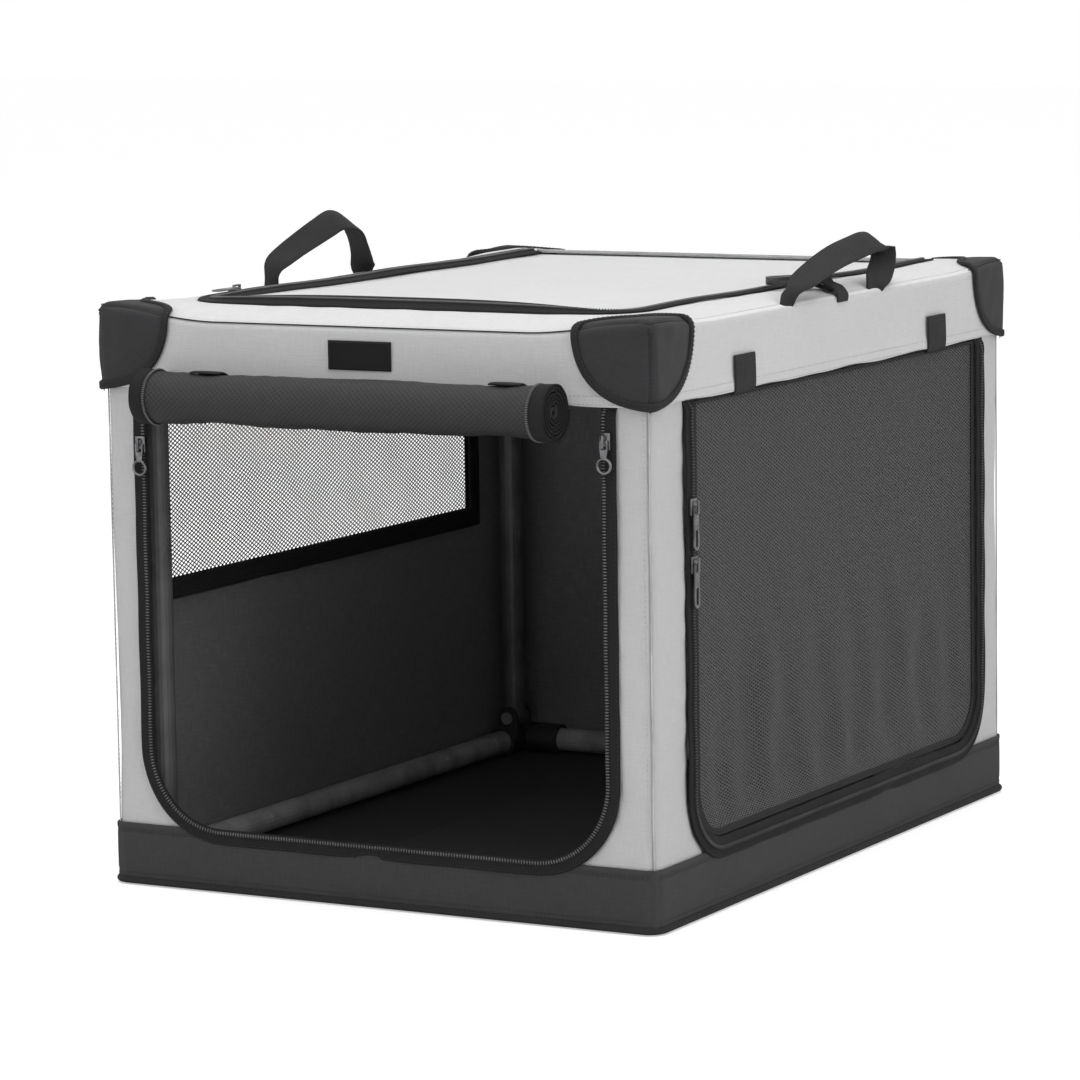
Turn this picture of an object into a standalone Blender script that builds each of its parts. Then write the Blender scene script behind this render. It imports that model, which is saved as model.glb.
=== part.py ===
"""A soft folding dog crate: a steel tube frame that folds flat inside a sewn fabric cover.

Metres, +Z up. The origin is at the bottom centre. The roll-up front door faces -Y, and the zipped
mesh door is on the +X side. The frame is a ring of tubes in the base, a ring of tubes in the roof,
and four posts hinged to the base that swing up into open sockets of the roof's corner joints.
"""

import math

import bmesh
import bpy
from mathutils import Matrix, Vector

COLLECTION_NAME = "folding_dog_crate"
GUIDES_NAME = "guides"

# Overall size
CRATE_WIDTH = 0.457
CRATE_DEPTH = 0.610
CRATE_HEIGHT = 0.432

# Fits
SEAT_GAP = 0.0003
RUN_GAP = 0.0005
CUT_OVERRUN = 0.004
CORNER_STEPS = 6

# Fabric layers
SKIN = 0.0015
WALL_CLOTH = 0.003
FLOOR_CLOTH = 0.003
ROOF_CLOTH = 0.003
BAND_HEIGHT = 0.046
SKIRT_HEIGHT = 0.060
WALL_TUCK = 0.010

# Tubes and their joints
TUBE_RADIUS = 0.0095
TUBE_SIDES = 20
COLLAR_WALL = 0.003
COLLAR_LENGTH = 0.040
TUBE_PLUG = 0.012
COLLAR_SIDES = 24

# Folding posts
POST_INSET = 0.023
POST_HINGE_HEIGHT = 0.0363
EAR_WALL = 0.0027
EAR_REACH = 0.0092
PIN_RADIUS = 0.003
PIN_HEAD_RADIUS = 0.0052
PIN_HEAD = 0.0014
POST_HEAD_DROP = 0.0509
SOCKET_GRIP = 0.0185
SOCKET_HEADROOM = 0.022

# Front doorway and its zip
FRONT_DOOR_STILE = 0.0425
FRONT_DOOR_FLOOR = 0.036
FRONT_DOOR_CORNER = 0.055
ZIP_TAPE = 0.014
ZIP_PROUD = 0.003

# Rolled front door
ROLL_OVERLAP = 0.001
ROLL_CENTRE_X = -0.0115
ROLL_RADIUS = 0.0225
ROLL_DROP = 0.010
ROLL_STANDOFF = 0.0004
ROLL_SHEET = 0.0022
ROLL_TURNS = 6
ROLL_CORE = 0.0032
ROLL_STEPS = 14
ROLL_TAIL_STEPS = 3
STRAP_WIDTH = 0.025
STRAP_CLOTH = 0.0013
STRAP_START_ANGLE = math.radians(35)
STRAP_END_ANGLE = math.radians(125)
STRAP_PLACE_SHARES = (-0.26, 0.28)

# Side door on the right and its zip
SIDE_DOOR_STILE = 0.045
SIDE_DOOR_CENTRE_Y = 0.006
SIDE_DOOR_FLOOR = 0.038
SIDE_DOOR_CORNER = 0.040
SIDE_DOOR_BORDER = 0.016
SIDE_NET_COLUMNS = 14
SIDE_NET_ROWS = 8
NET_CORD = 0.005
NET_CLOTH = 0.002

# Window in the left wall
WINDOW_STILE = 0.065
WINDOW_HEIGHT = 0.156
WINDOW_DROP = 0.010
WINDOW_BORDER = 0.012
WINDOW_NET_COLUMNS = 12
WINDOW_NET_ROWS = 4

# Roof door
ROOF_BORDER_SIDE = 0.0535
ROOF_BORDER_END = 0.043
ROOF_DOOR_CORNER = 0.045

# Corner patches, label and tabs
PATCH_REACH = 0.062
PATCH_CLOTH = 0.0013
LABEL_WIDTH = 0.052
LABEL_HEIGHT = 0.021
LABEL_CLOTH = 0.0008
LABEL_CENTRE_X = -0.005
TAB_WIDTH = 0.030
TAB_HEIGHT = 0.022
TAB_CLOTH = 0.0016
TAB_PLACE_SHARES = (-0.267, 0.281)

# Carry handles
HANDLE_SPAN = 0.170
HANDLE_RISE = 0.052
HANDLE_WIDTH = 0.025
HANDLE_CLOTH = 0.0026
HANDLE_INSET = 0.021
HANDLE_STEPS = 18
HANDLE_CURVE_SHARE = 0.62

# Safety clip on the roof
CLIP_LENGTH = 0.048
CLIP_WIDTH = 0.014
CLIP_THICK = 0.006
CLIP_WALL = 0.003
CLIP_HOOK_SHARE = 0.45
CLIP_TURN = math.radians(-36)
CLIP_EYE = 0.0034
CLIP_TAB_INSET = 0.014
CLIP_TAB_Y = 0.004
CLIP_TAB_WIDTH = 0.018
CLIP_TAB_REACH = 0.012
CLIP_TAB_CLOTH = 0.0018
CLIP_TAB_SEAM = 0.003
CLIP_LOOP_RADIUS = 0.005
CLIP_LOOP_WIRE = 0.0011

# Zip sliders and pulls
SLIDER_WIDTH = 0.0085
SLIDER_LENGTH = 0.012
SLIDER_THICK = 0.0026
BAIL_WIDTH = 0.002
BAIL_LENGTH = 0.0095
BAIL_RISE = 0.0038
BAIL_WALL = 0.0014
PULL_THICK = 0.0013
PULL_WIDTH = 0.008
PULL_NECK = 0.0066
PULL_LENGTH = 0.031
PULL_EYE_WIDTH = 0.004
PULL_EYE_LENGTH = 0.0062
PULL_BAR = 0.0013
PULL_SLOT_WIDTH = 0.0034
PULL_SLOT_LENGTH = 0.009
RING_PULL_LENGTH = 0.013
RING_RADIUS = 0.0052
RING_WIRE = 0.0011
WIRE_SIDES = 6
FRONT_SLIDER_DROP_RIGHT = 0.024
FRONT_SLIDER_DROP_LEFT = 0.042
SIDE_SLIDER_DROP_UPPER = 0.075
SIDE_SLIDER_DROP_LOWER = 0.116
ROOF_SLIDER_SHARE = -0.36

# Places that follow from the sizes above
HALF_WIDTH = CRATE_WIDTH / 2
HALF_DEPTH = CRATE_DEPTH / 2
HEM = CRATE_HEIGHT - SKIRT_HEIGHT
FRONT_DOOR_WIDTH = CRATE_WIDTH - 2 * FRONT_DOOR_STILE
SIDE_DOOR_WIDTH = CRATE_DEPTH - 2 * SIDE_DOOR_STILE
WINDOW_WIDTH = CRATE_DEPTH - 2 * WINDOW_STILE
WINDOW_HEAD = HEM - WINDOW_DROP
WINDOW_SILL = WINDOW_HEAD - WINDOW_HEIGHT
ROOF_DOOR_WIDTH = CRATE_WIDTH - 2 * ROOF_BORDER_SIDE
ROOF_DOOR_LENGTH = CRATE_DEPTH - 2 * ROOF_BORDER_END
ROLL_LENGTH = FRONT_DOOR_WIDTH + 2 * ROLL_OVERLAP
CLIP_TAB_X = HALF_WIDTH - CLIP_TAB_INSET
WALL_OUT = SKIN + SEAT_GAP
WALL_IN = WALL_OUT + WALL_CLOTH
WALL_FOOT = FLOOR_CLOTH + SEAT_GAP
WALL_TOP = HEM + WALL_TUCK
SIDE_WALL_HALF = HALF_DEPTH - WALL_IN - SEAT_GAP
END_WALL_HALF = HALF_WIDTH - WALL_OUT
ZIP_TOP = HEM - SEAT_GAP
ROOF_BACK = ROOF_DOOR_LENGTH / 2
COLLAR_RADIUS = TUBE_RADIUS + COLLAR_WALL
TUBE_INSET = WALL_IN + SEAT_GAP + COLLAR_RADIUS
TUBE_X = HALF_WIDTH - TUBE_INSET
TUBE_Y = HALF_DEPTH - TUBE_INSET
BASE_TUBE_Z = FLOOR_CLOTH + SEAT_GAP + COLLAR_RADIUS
ROOF_TUBE_Z = CRATE_HEIGHT - ROOF_CLOTH - SEAT_GAP - COLLAR_RADIUS
POST_X = HALF_WIDTH - POST_INSET
POST_PITCH = 2 * TUBE_RADIUS + RUN_GAP
POST_Y_LEFT = TUBE_Y - POST_PITCH
POST_Y_RIGHT = POST_Y_LEFT - POST_PITCH
POST_TOP = ROOF_TUBE_Z - POST_HEAD_DROP
POST_LENGTH = POST_TOP - POST_HINGE_HEIGHT
EAR_OFFSET = TUBE_RADIUS + SEAT_GAP + EAR_WALL / 2
SOCKET_FOOT = POST_TOP - SOCKET_GRIP
SOCKET_ROOF = POST_TOP + SOCKET_HEADROOM
ROLL_OUTER = ROLL_RADIUS - ROLL_SHEET / 2
ROLL_PITCH = (ROLL_OUTER - ROLL_CORE) / ROLL_TURNS
CLIP_EYE_PLACE = (CLIP_WIDTH / 2 + CLIP_EYE) / 2

MATERIALS = {
    "light_cloth": ((0.52, 0.52, 0.53), 0.9, 0.0),
    "roof_cloth": ((0.62, 0.62, 0.63), 0.9, 0.0),
    "dark_cloth": ((0.045, 0.045, 0.05), 0.85, 0.0),
    "webbing": ((0.03, 0.03, 0.032), 0.8, 0.0),
    "mesh": ((0.05, 0.05, 0.052), 0.8, 0.0),
    "zip_tape": ((0.04, 0.04, 0.043), 0.75, 0.0),
    "painted_tube": ((0.11, 0.11, 0.115), 0.4, 0.8),
    "joint_plastic": ((0.02, 0.02, 0.022), 0.5, 0.0),
    "gunmetal": ((0.22, 0.22, 0.23), 0.3, 1.0),
    "rivet_steel": ((0.5, 0.5, 0.5), 0.35, 1.0),
    "clip_plastic": ((0.02, 0.02, 0.022), 0.35, 0.0),
}


def clear_scene():
    for obj in list(bpy.data.objects):
        bpy.data.objects.remove(obj, do_unlink=True)


def make_collection(name):
    collection = bpy.data.collections.new(name)
    bpy.context.scene.collection.children.link(collection)
    return collection


clear_scene()
CRATE = make_collection(COLLECTION_NAME)
GUIDES = make_collection(GUIDES_NAME)


def material_for(obj, finish):
    """Each object has its own Principled material, of one of the finishes above."""
    colour, roughness, metallic = MATERIALS[finish]
    material = bpy.data.materials.new(obj.name + "_" + finish)
    material.use_nodes = True
    shader = material.node_tree.nodes["Principled BSDF"]
    shader.inputs["Base Color"].default_value = (*colour, 1)
    shader.inputs["Roughness"].default_value = roughness
    shader.inputs["Metallic"].default_value = metallic
    obj.data.materials.append(material)


def add_object(name, data, finish):
    obj = bpy.data.objects.new(name, data)
    CRATE.objects.link(obj)
    material_for(obj, finish)
    return obj


def guide(obj):
    """Turns an object into a hidden cutter or helper."""
    for collection in list(obj.users_collection):
        collection.objects.unlink(obj)
    GUIDES.objects.link(obj)
    obj.hide_render = True
    obj.display_type = "WIRE"
    return obj


def box_mesh(name, low, high):
    """A box mesh between two corners."""
    mesh = bpy.data.meshes.new(name)
    solid = bmesh.new()
    bmesh.ops.create_cube(solid, size=1)
    low, high = Vector(low), Vector(high)
    scale = Matrix.Diagonal((*(high - low), 1))
    bmesh.ops.transform(solid, matrix=Matrix.Translation((low + high) / 2) @ scale, verts=solid.verts)
    solid.to_mesh(mesh)
    solid.free()
    return mesh


def rod_mesh(name, start, end, radius, sides):
    """A round bar mesh from start to end."""
    mesh = bpy.data.meshes.new(name)
    start, end = Vector(start), Vector(end)
    run = end - start
    solid = bmesh.new()
    bmesh.ops.create_cone(
        solid, cap_ends=True, segments=sides, radius1=radius, radius2=radius, depth=run.length
    )
    turn = Vector((0, 0, 1)).rotation_difference(run).to_matrix().to_4x4()
    bmesh.ops.transform(solid, matrix=Matrix.Translation((start + end) / 2) @ turn, verts=solid.verts)
    solid.to_mesh(mesh)
    solid.free()
    return mesh


def ball_mesh(name, centre, radius, rings):
    """A ball mesh with the given number of rings."""
    mesh = bpy.data.meshes.new(name)
    solid = bmesh.new()
    bmesh.ops.create_uvsphere(solid, u_segments=2 * rings, v_segments=rings, radius=radius)
    bmesh.ops.translate(solid, vec=Vector(centre), verts=solid.verts)
    solid.to_mesh(mesh)
    solid.free()
    return mesh


def helper(mesh):
    """A hidden object for a mesh, for Boolean modifiers."""
    obj = bpy.data.objects.new(mesh.name, mesh)
    CRATE.objects.link(obj)
    return guide(obj)


def combine(obj, other, operation):
    modifier = obj.modifiers.new(operation.title(), "BOOLEAN")
    modifier.operation = operation
    modifier.solver = "EXACT"
    modifier.object = other
    return obj


def join(obj, mesh):
    return combine(obj, helper(mesh), "UNION")


def cut(obj, mesh):
    return combine(obj, helper(mesh), "DIFFERENCE")


def smooth_rounds(obj, angle=math.radians(40)):
    obj.data.shade_smooth()
    obj.data.set_sharp_from_angle(angle=angle)
    return obj


def outline_curve(name, outlines, thickness):
    """A flat plate in local X and Y from closed outlines; those inside the first one are holes."""
    curve = bpy.data.curves.new(name, "CURVE")
    curve.dimensions = "2D"
    curve.fill_mode = "BOTH"
    curve.extrude = thickness / 2
    for points in outlines:
        spline = curve.splines.new("POLY")
        spline.points.add(len(points) - 1)
        for point, (x, y) in zip(spline.points, points):
            point.co = (x, y, 0, 1)
        spline.use_cyclic_u = True
    return curve


def stand_front(obj, y):
    """Stands a flat plate up facing the front: local X stays X, local Y becomes Z."""
    obj.rotation_euler = (math.pi / 2, 0, 0)
    obj.location = (0, y, 0)
    return obj


def stand_side(obj, x):
    """Stands a flat plate up facing the side: local X becomes Y, local Y becomes Z."""
    obj.rotation_euler = (math.pi / 2, 0, math.pi / 2)
    obj.location = (x, 0, 0)
    return obj


def meshed(obj):
    """Makes a curve object a mesh object of the same name, in place, for Boolean modifiers."""
    graph = bpy.context.evaluated_depsgraph_get()
    bpy.context.view_layer.update()
    mesh = bpy.data.meshes.new_from_object(obj.evaluated_get(graph))
    solid = bmesh.new()
    solid.from_mesh(mesh)
    bmesh.ops.remove_doubles(solid, verts=solid.verts, dist=SEAT_GAP / 10)
    solid.transform(obj.matrix_world)
    solid.to_mesh(mesh)
    solid.free()
    name = obj.name
    bpy.data.objects.remove(obj, do_unlink=True)
    made = bpy.data.objects.new(name, mesh)
    CRATE.objects.link(made)
    return made


def arc(centre, radius, start, end, steps):
    """Points of an arc, from the start angle to the end angle."""
    angles = [start + (end - start) * i / steps for i in range(steps + 1)]
    return [(centre[0] + radius * math.cos(a), centre[1] + radius * math.sin(a)) for a in angles]


def u_path(left, right, floor, top, corner):
    """A U from the top left, down, across and up to the top right, with two round corners."""
    path = [(left, top)]
    path += arc((left + corner, floor + corner), corner, math.pi, 1.5 * math.pi, CORNER_STEPS)
    path += arc((right - corner, floor + corner), corner, -0.5 * math.pi, 0, CORNER_STEPS)
    path.append((right, top))
    return path


def grown_u(width, centre, floor, top, corner, grow):
    """The U of a door, made larger all round by grow; its top stays."""
    half = width / 2 + grow
    return u_path(centre - half, centre + half, floor - grow, top, corner + grow)


def net_holes(left, right, floor, top, columns, rows, cord):
    """Rectangular holes in even columns and rows, with a cord between neighbours."""
    step_x = (right - left + cord) / columns
    step_y = (top - floor + cord) / rows
    holes = []
    for i in range(columns):
        for j in range(rows):
            x, y = left + i * step_x, floor + j * step_y
            x1, y1 = x + step_x - cord, y + step_y - cord
            holes.append([(x, y), (x1, y), (x1, y1), (x, y1)])
    return holes


def ribbon(name, points, width, thickness, finish):
    """A flat strap along points of a plane, thickened evenly to both sides.

    points are (across, up) pairs of local Y and Z, and the width runs along local X.
    """
    mesh = bpy.data.meshes.new(name)
    sheet = bmesh.new()
    rows = []
    for across, up in points:
        rows.append([sheet.verts.new((side * width / 2, across, up)) for side in (-1, 1)])
    for first, second in zip(rows, rows[1:]):
        sheet.faces.new((first[0], first[1], second[1], second[0]))
    sheet.to_mesh(mesh)
    sheet.free()
    obj = add_object(name, mesh, finish)
    wall = obj.modifiers.new("Thickness", "SOLIDIFY")
    wall.thickness = thickness
    wall.offset = 0
    wall.use_even_offset = True
    return obj


def build_base_tray():
    """The floor and the dark band round it, dipped where the two doors reach into the band."""
    low = (-HALF_WIDTH, -HALF_DEPTH, 0)
    high = (HALF_WIDTH, HALF_DEPTH, BAND_HEIGHT)
    tray = add_object("base_tray", box_mesh("base_tray", low, high), "dark_cloth")
    hollow_low = (-HALF_WIDTH + SKIN, -HALF_DEPTH + SKIN, FLOOR_CLOTH)
    hollow_high = (HALF_WIDTH - SKIN, HALF_DEPTH - SKIN, BAND_HEIGHT + CUT_OVERRUN)
    cut(tray, box_mesh("tray_hollow", hollow_low, hollow_high))
    dip = outline_curve("front_dip", [front_zip_edge(ZIP_TAPE + SEAT_GAP)], 2 * CUT_OVERRUN)
    cut_with_plate(tray, stand_front(plain(dip), -HALF_DEPTH))
    dip = outline_curve("side_dip", [side_zip_edge(ZIP_TAPE + SEAT_GAP)], 2 * CUT_OVERRUN)
    cut_with_plate(tray, stand_side(plain(dip), HALF_WIDTH))
    return tray


def plain(curve):
    obj = bpy.data.objects.new(curve.name, curve)
    CRATE.objects.link(obj)
    return obj


def cut_with_plate(obj, plate):
    combine(obj, guide(meshed(plate)), "DIFFERENCE")


def front_zip_edge(grow, top=HEM):
    return grown_u(FRONT_DOOR_WIDTH, 0, FRONT_DOOR_FLOOR + ZIP_TAPE, top, FRONT_DOOR_CORNER, grow)


def side_zip_edge(grow, top=HEM):
    return grown_u(
        SIDE_DOOR_WIDTH - 2 * ZIP_TAPE,
        SIDE_DOOR_CENTRE_Y,
        SIDE_DOOR_FLOOR + ZIP_TAPE,
        top,
        SIDE_DOOR_CORNER,
        grow,
    )


def build_front_panel():
    edge = front_zip_edge(ZIP_TAPE + SEAT_GAP, WALL_TOP)
    outline = [(-END_WALL_HALF, WALL_TOP), (-END_WALL_HALF, WALL_FOOT)]
    outline += [(END_WALL_HALF, WALL_FOOT), (END_WALL_HALF, WALL_TOP)]
    curve = outline_curve("front_panel", [outline + edge[::-1]], WALL_CLOTH)
    panel = add_object("front_panel", curve, "light_cloth")
    return stand_front(panel, -HALF_DEPTH + (WALL_OUT + WALL_IN) / 2)


def build_back_panel():
    outline = [(-END_WALL_HALF, WALL_TOP), (-END_WALL_HALF, WALL_FOOT)]
    outline += [(END_WALL_HALF, WALL_FOOT), (END_WALL_HALF, WALL_TOP)]
    curve = outline_curve("back_panel", [outline], WALL_CLOTH)
    panel = add_object("back_panel", curve, "light_cloth")
    return stand_front(panel, HALF_DEPTH - (WALL_OUT + WALL_IN) / 2)


def side_outline():
    return [
        (-SIDE_WALL_HALF, WALL_TOP),
        (-SIDE_WALL_HALF, WALL_FOOT),
        (SIDE_WALL_HALF, WALL_FOOT),
        (SIDE_WALL_HALF, WALL_TOP),
    ]


def build_left_panel():
    half = WINDOW_WIDTH / 2
    window = [(-half, WINDOW_SILL), (half, WINDOW_SILL), (half, WINDOW_HEAD), (-half, WINDOW_HEAD)]
    curve = outline_curve("left_panel", [side_outline(), window], WALL_CLOTH)
    panel = add_object("left_panel", curve, "light_cloth")
    return stand_side(panel, -HALF_WIDTH + (WALL_OUT + WALL_IN) / 2)


def build_window_mesh():
    half = WINDOW_WIDTH / 2 - SEAT_GAP
    low, high = WINDOW_SILL + SEAT_GAP, WINDOW_HEAD - SEAT_GAP
    outline = [(-half, low), (half, low), (half, high), (-half, high)]
    holes = net_holes(
        -half + WINDOW_BORDER,
        half - WINDOW_BORDER,
        low + WINDOW_BORDER,
        high - WINDOW_BORDER,
        WINDOW_NET_COLUMNS,
        WINDOW_NET_ROWS,
        NET_CORD,
    )
    curve = outline_curve("window_mesh", [outline, *holes], NET_CLOTH)
    return stand_side(add_object("window_mesh", curve, "mesh"), -HALF_WIDTH + (WALL_OUT + WALL_IN) / 2)


def build_right_panel():
    edge = side_zip_edge(ZIP_TAPE + SEAT_GAP, WALL_TOP)
    curve = outline_curve("right_panel", [side_outline() + edge[::-1]], WALL_CLOTH)
    panel = add_object("right_panel", curve, "light_cloth")
    return stand_side(panel, HALF_WIDTH - (WALL_OUT + WALL_IN) / 2)


def build_front_zip():
    """The zip tape round the doorway, flush with the band and the skirt."""
    outline = front_zip_edge(ZIP_TAPE, ZIP_TOP) + front_zip_edge(0, ZIP_TOP)[::-1]
    curve = outline_curve("front_zip", [outline], ZIP_PROUD)
    return stand_front(add_object("front_zip", curve, "zip_tape"), -HALF_DEPTH + ZIP_PROUD / 2)


def build_side_zip():
    """Both tapes of the closed zip round the side door."""
    outline = side_zip_edge(ZIP_TAPE, ZIP_TOP) + side_zip_edge(0, ZIP_TOP)[::-1]
    curve = outline_curve("side_zip", [outline], ZIP_PROUD)
    return stand_side(add_object("side_zip", curve, "zip_tape"), HALF_WIDTH - ZIP_PROUD / 2)


def build_side_door():
    """The net door with its sewn border, hung at the skirt's hem."""
    half = SIDE_DOOR_WIDTH / 2 - ZIP_TAPE
    edge = side_zip_edge(-SEAT_GAP, ZIP_TOP - SEAT_GAP)
    holes = net_holes(
        SIDE_DOOR_CENTRE_Y - half + SIDE_DOOR_BORDER,
        SIDE_DOOR_CENTRE_Y + half - SIDE_DOOR_BORDER,
        SIDE_DOOR_FLOOR + ZIP_TAPE + SIDE_DOOR_BORDER,
        ZIP_TOP - SIDE_DOOR_BORDER,
        SIDE_NET_COLUMNS,
        SIDE_NET_ROWS,
        NET_CORD,
    )
    curve = outline_curve("side_door", [edge, *holes], NET_CLOTH)
    return stand_side(add_object("side_door", curve, "mesh"), HALF_WIDTH - WALL_OUT - NET_CLOTH / 2)


def roof_u(grow, back):
    """The front and sides of the roof door, with its open side at the back."""
    half = ROOF_DOOR_WIDTH / 2 + grow
    front = -ROOF_DOOR_LENGTH / 2 - grow
    return u_path(-half, half, front, back, ROOF_DOOR_CORNER + grow)


def build_top_cover():
    """The roof and its skirt in one sewn cover, with the hole that the roof door fills."""
    low = (-HALF_WIDTH, -HALF_DEPTH, HEM)
    high = (HALF_WIDTH, HALF_DEPTH, CRATE_HEIGHT)
    cover = add_object("top_cover", box_mesh("top_cover", low, high), "roof_cloth")
    hollow_low = (-HALF_WIDTH + SKIN, -HALF_DEPTH + SKIN, HEM - CUT_OVERRUN)
    hollow_high = (HALF_WIDTH - SKIN, HALF_DEPTH - SKIN, CRATE_HEIGHT - ROOF_CLOTH)
    cut(cover, box_mesh("cover_hollow", hollow_low, hollow_high))
    hole = outline_curve("roof_hole", [roof_u(ZIP_TAPE + SEAT_GAP, ROOF_BACK)], 4 * ROOF_CLOTH)
    plate = plain(hole)
    plate.location = (0, 0, CRATE_HEIGHT)
    cut_with_plate(cover, plate)
    return cover


def build_top_zip():
    outline = roof_u(ZIP_TAPE, ROOF_BACK - SEAT_GAP) + roof_u(0, ROOF_BACK - SEAT_GAP)[::-1]
    curve = outline_curve("top_zip", [outline], ROOF_CLOTH)
    tape = add_object("top_zip", curve, "zip_tape")
    tape.location = (0, 0, CRATE_HEIGHT - ROOF_CLOTH / 2)
    return tape


def build_top_door():
    curve = outline_curve("top_door", [roof_u(-SEAT_GAP, ROOF_BACK - SEAT_GAP)], ROOF_CLOTH)
    door = add_object("top_door", curve, "roof_cloth")
    door.location = (0, 0, CRATE_HEIGHT - ROOF_CLOTH / 2)
    return door


def build_tube(name, start, end):
    """A straight frame tube that ends inside the collars of its two joints."""
    mesh = rod_mesh(name, start, end, TUBE_RADIUS, TUBE_SIDES)
    return smooth_rounds(add_object(name, mesh, "painted_tube"))


def build_ring(prefix, z):
    """Four tubes of one ring, front, back, left and right."""
    reach_x = TUBE_X - COLLAR_LENGTH + TUBE_PLUG
    reach_y = TUBE_Y - COLLAR_LENGTH + TUBE_PLUG
    build_tube(prefix + "_front", (-reach_x, -TUBE_Y, z), (reach_x, -TUBE_Y, z))
    build_tube(prefix + "_back", (-reach_x, TUBE_Y, z), (reach_x, TUBE_Y, z))
    build_tube(prefix + "_left", (-TUBE_X, -reach_y, z), (-TUBE_X, reach_y, z))
    build_tube(prefix + "_right", (TUBE_X, -reach_y, z), (TUBE_X, reach_y, z))


def corner_places():
    """Each corner's name, its side signs, and the Y of the post that stands there."""
    for end, sign_y in (("front", -1), ("back", 1)):
        for side, sign_x in (("left", -1), ("right", 1)):
            post_y = POST_Y_LEFT if side == "left" else POST_Y_RIGHT
            yield f"{end}_{side}", sign_x, sign_y, sign_y * post_y


def add_collars(obj, sign_x, sign_y, z, reach_y):
    """Two sockets that meet in a ball at the corner, bored for the tube ends."""
    corner = Vector((sign_x * TUBE_X, sign_y * TUBE_Y, z))
    along_x = corner - Vector((sign_x * COLLAR_LENGTH, 0, 0))
    along_y = corner - Vector((0, sign_y * reach_y, 0))
    join(obj, rod_mesh("collar_x", corner, along_x, COLLAR_RADIUS, COLLAR_SIDES))
    join(obj, rod_mesh("collar_y", corner, along_y, COLLAR_RADIUS, COLLAR_SIDES))
    return along_x, along_y


def bore_collars(obj, along_x, along_y, sign_x, sign_y):
    """The bores that the tubes plug into, a little deeper than the plugs."""
    depth = TUBE_PLUG + SEAT_GAP
    bore = TUBE_RADIUS + SEAT_GAP
    for mouth, inward in ((along_x, Vector((sign_x, 0, 0))), (along_y, Vector((0, sign_y, 0)))):
        start = mouth - inward * CUT_OVERRUN
        reach = abs(mouth.y) if inward.y else abs(mouth.x)
        full = (TUBE_Y if inward.y else TUBE_X) - COLLAR_LENGTH + TUBE_PLUG
        end = mouth + inward * (full - reach + SEAT_GAP if full > reach else depth)
        cut(obj, rod_mesh("tube_bore", start, end, bore, COLLAR_SIDES))


def build_base_bracket(corner_name, sign_x, sign_y, post_y):
    """A base corner: two collars and a pair of ears that hold the post's pin."""
    name = "base_bracket_" + corner_name
    corner = (sign_x * TUBE_X, sign_y * TUBE_Y, BASE_TUBE_Z)
    ball = ball_mesh(name, corner, COLLAR_RADIUS - SEAT_GAP, COLLAR_SIDES // 2)
    obj = add_object(name, ball, "joint_plastic")
    reach_y = TUBE_Y - abs(post_y) + EAR_OFFSET + EAR_WALL
    along_x, along_y = add_collars(obj, sign_x, sign_y, BASE_TUBE_Z, reach_y)
    for side in (-1, 1):
        join(obj, ear_mesh(sign_x * POST_X, post_y + side * EAR_OFFSET))
    clear = TUBE_RADIUS + SEAT_GAP / 2
    ends = [(sign_x * POST_X, post_y + side * clear, POST_HINGE_HEIGHT) for side in (-1, 1)]
    cut(obj, rod_mesh("post_room", *ends, TUBE_RADIUS + RUN_GAP, COLLAR_SIDES))
    bore_collars(obj, along_x, along_y, sign_x, sign_y)
    return obj


def ear_mesh(x, y):
    """A round-topped ear, bored for the pin, that stands on a collar."""
    top = arc((0, POST_HINGE_HEIGHT), EAR_REACH, 0, math.pi, 2 * CORNER_STEPS)
    outline = [(-EAR_REACH, BASE_TUBE_Z + EAR_WALL), (EAR_REACH, BASE_TUBE_Z + EAR_WALL), *top]
    hole_radius = PIN_RADIUS + SEAT_GAP
    hole = arc((0, POST_HINGE_HEIGHT), hole_radius, 0, 2 * math.pi, 2 * CORNER_STEPS)[:-1]
    ear = meshed(stand_front(plain(outline_curve("ear", [outline, hole], EAR_WALL)), y))
    mesh = ear.data
    mesh.transform(Matrix.Translation((x, 0, 0)))
    bpy.data.objects.remove(ear, do_unlink=True)
    return mesh


def build_post(corner_name, sign_x, post_y):
    """An upright with a round foot, bored across for its pin; its origin is on the hinge."""
    name = "post_" + corner_name
    foot = Vector((0, 0, 0))
    head = Vector((0, 0, POST_LENGTH))
    post = add_object(name, rod_mesh(name, foot, head, TUBE_RADIUS, TUBE_SIDES), "painted_tube")
    smooth_rounds(post)
    post.location = (sign_x * POST_X, post_y, POST_HINGE_HEIGHT)
    place = Matrix.Translation(post.location)
    knuckle = rod_mesh(
        "knuckle", (0, -TUBE_RADIUS, 0), (0, TUBE_RADIUS, 0), TUBE_RADIUS - SEAT_GAP, TUBE_SIDES
    )
    knuckle.transform(place)
    join(post, knuckle)
    pin_hole = rod_mesh(
        "post_hole", (0, -COLLAR_RADIUS, 0), (0, COLLAR_RADIUS, 0), PIN_RADIUS + SEAT_GAP, TUBE_SIDES
    )
    pin_hole.transform(place)
    cut(post, pin_hole)
    return post


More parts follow.
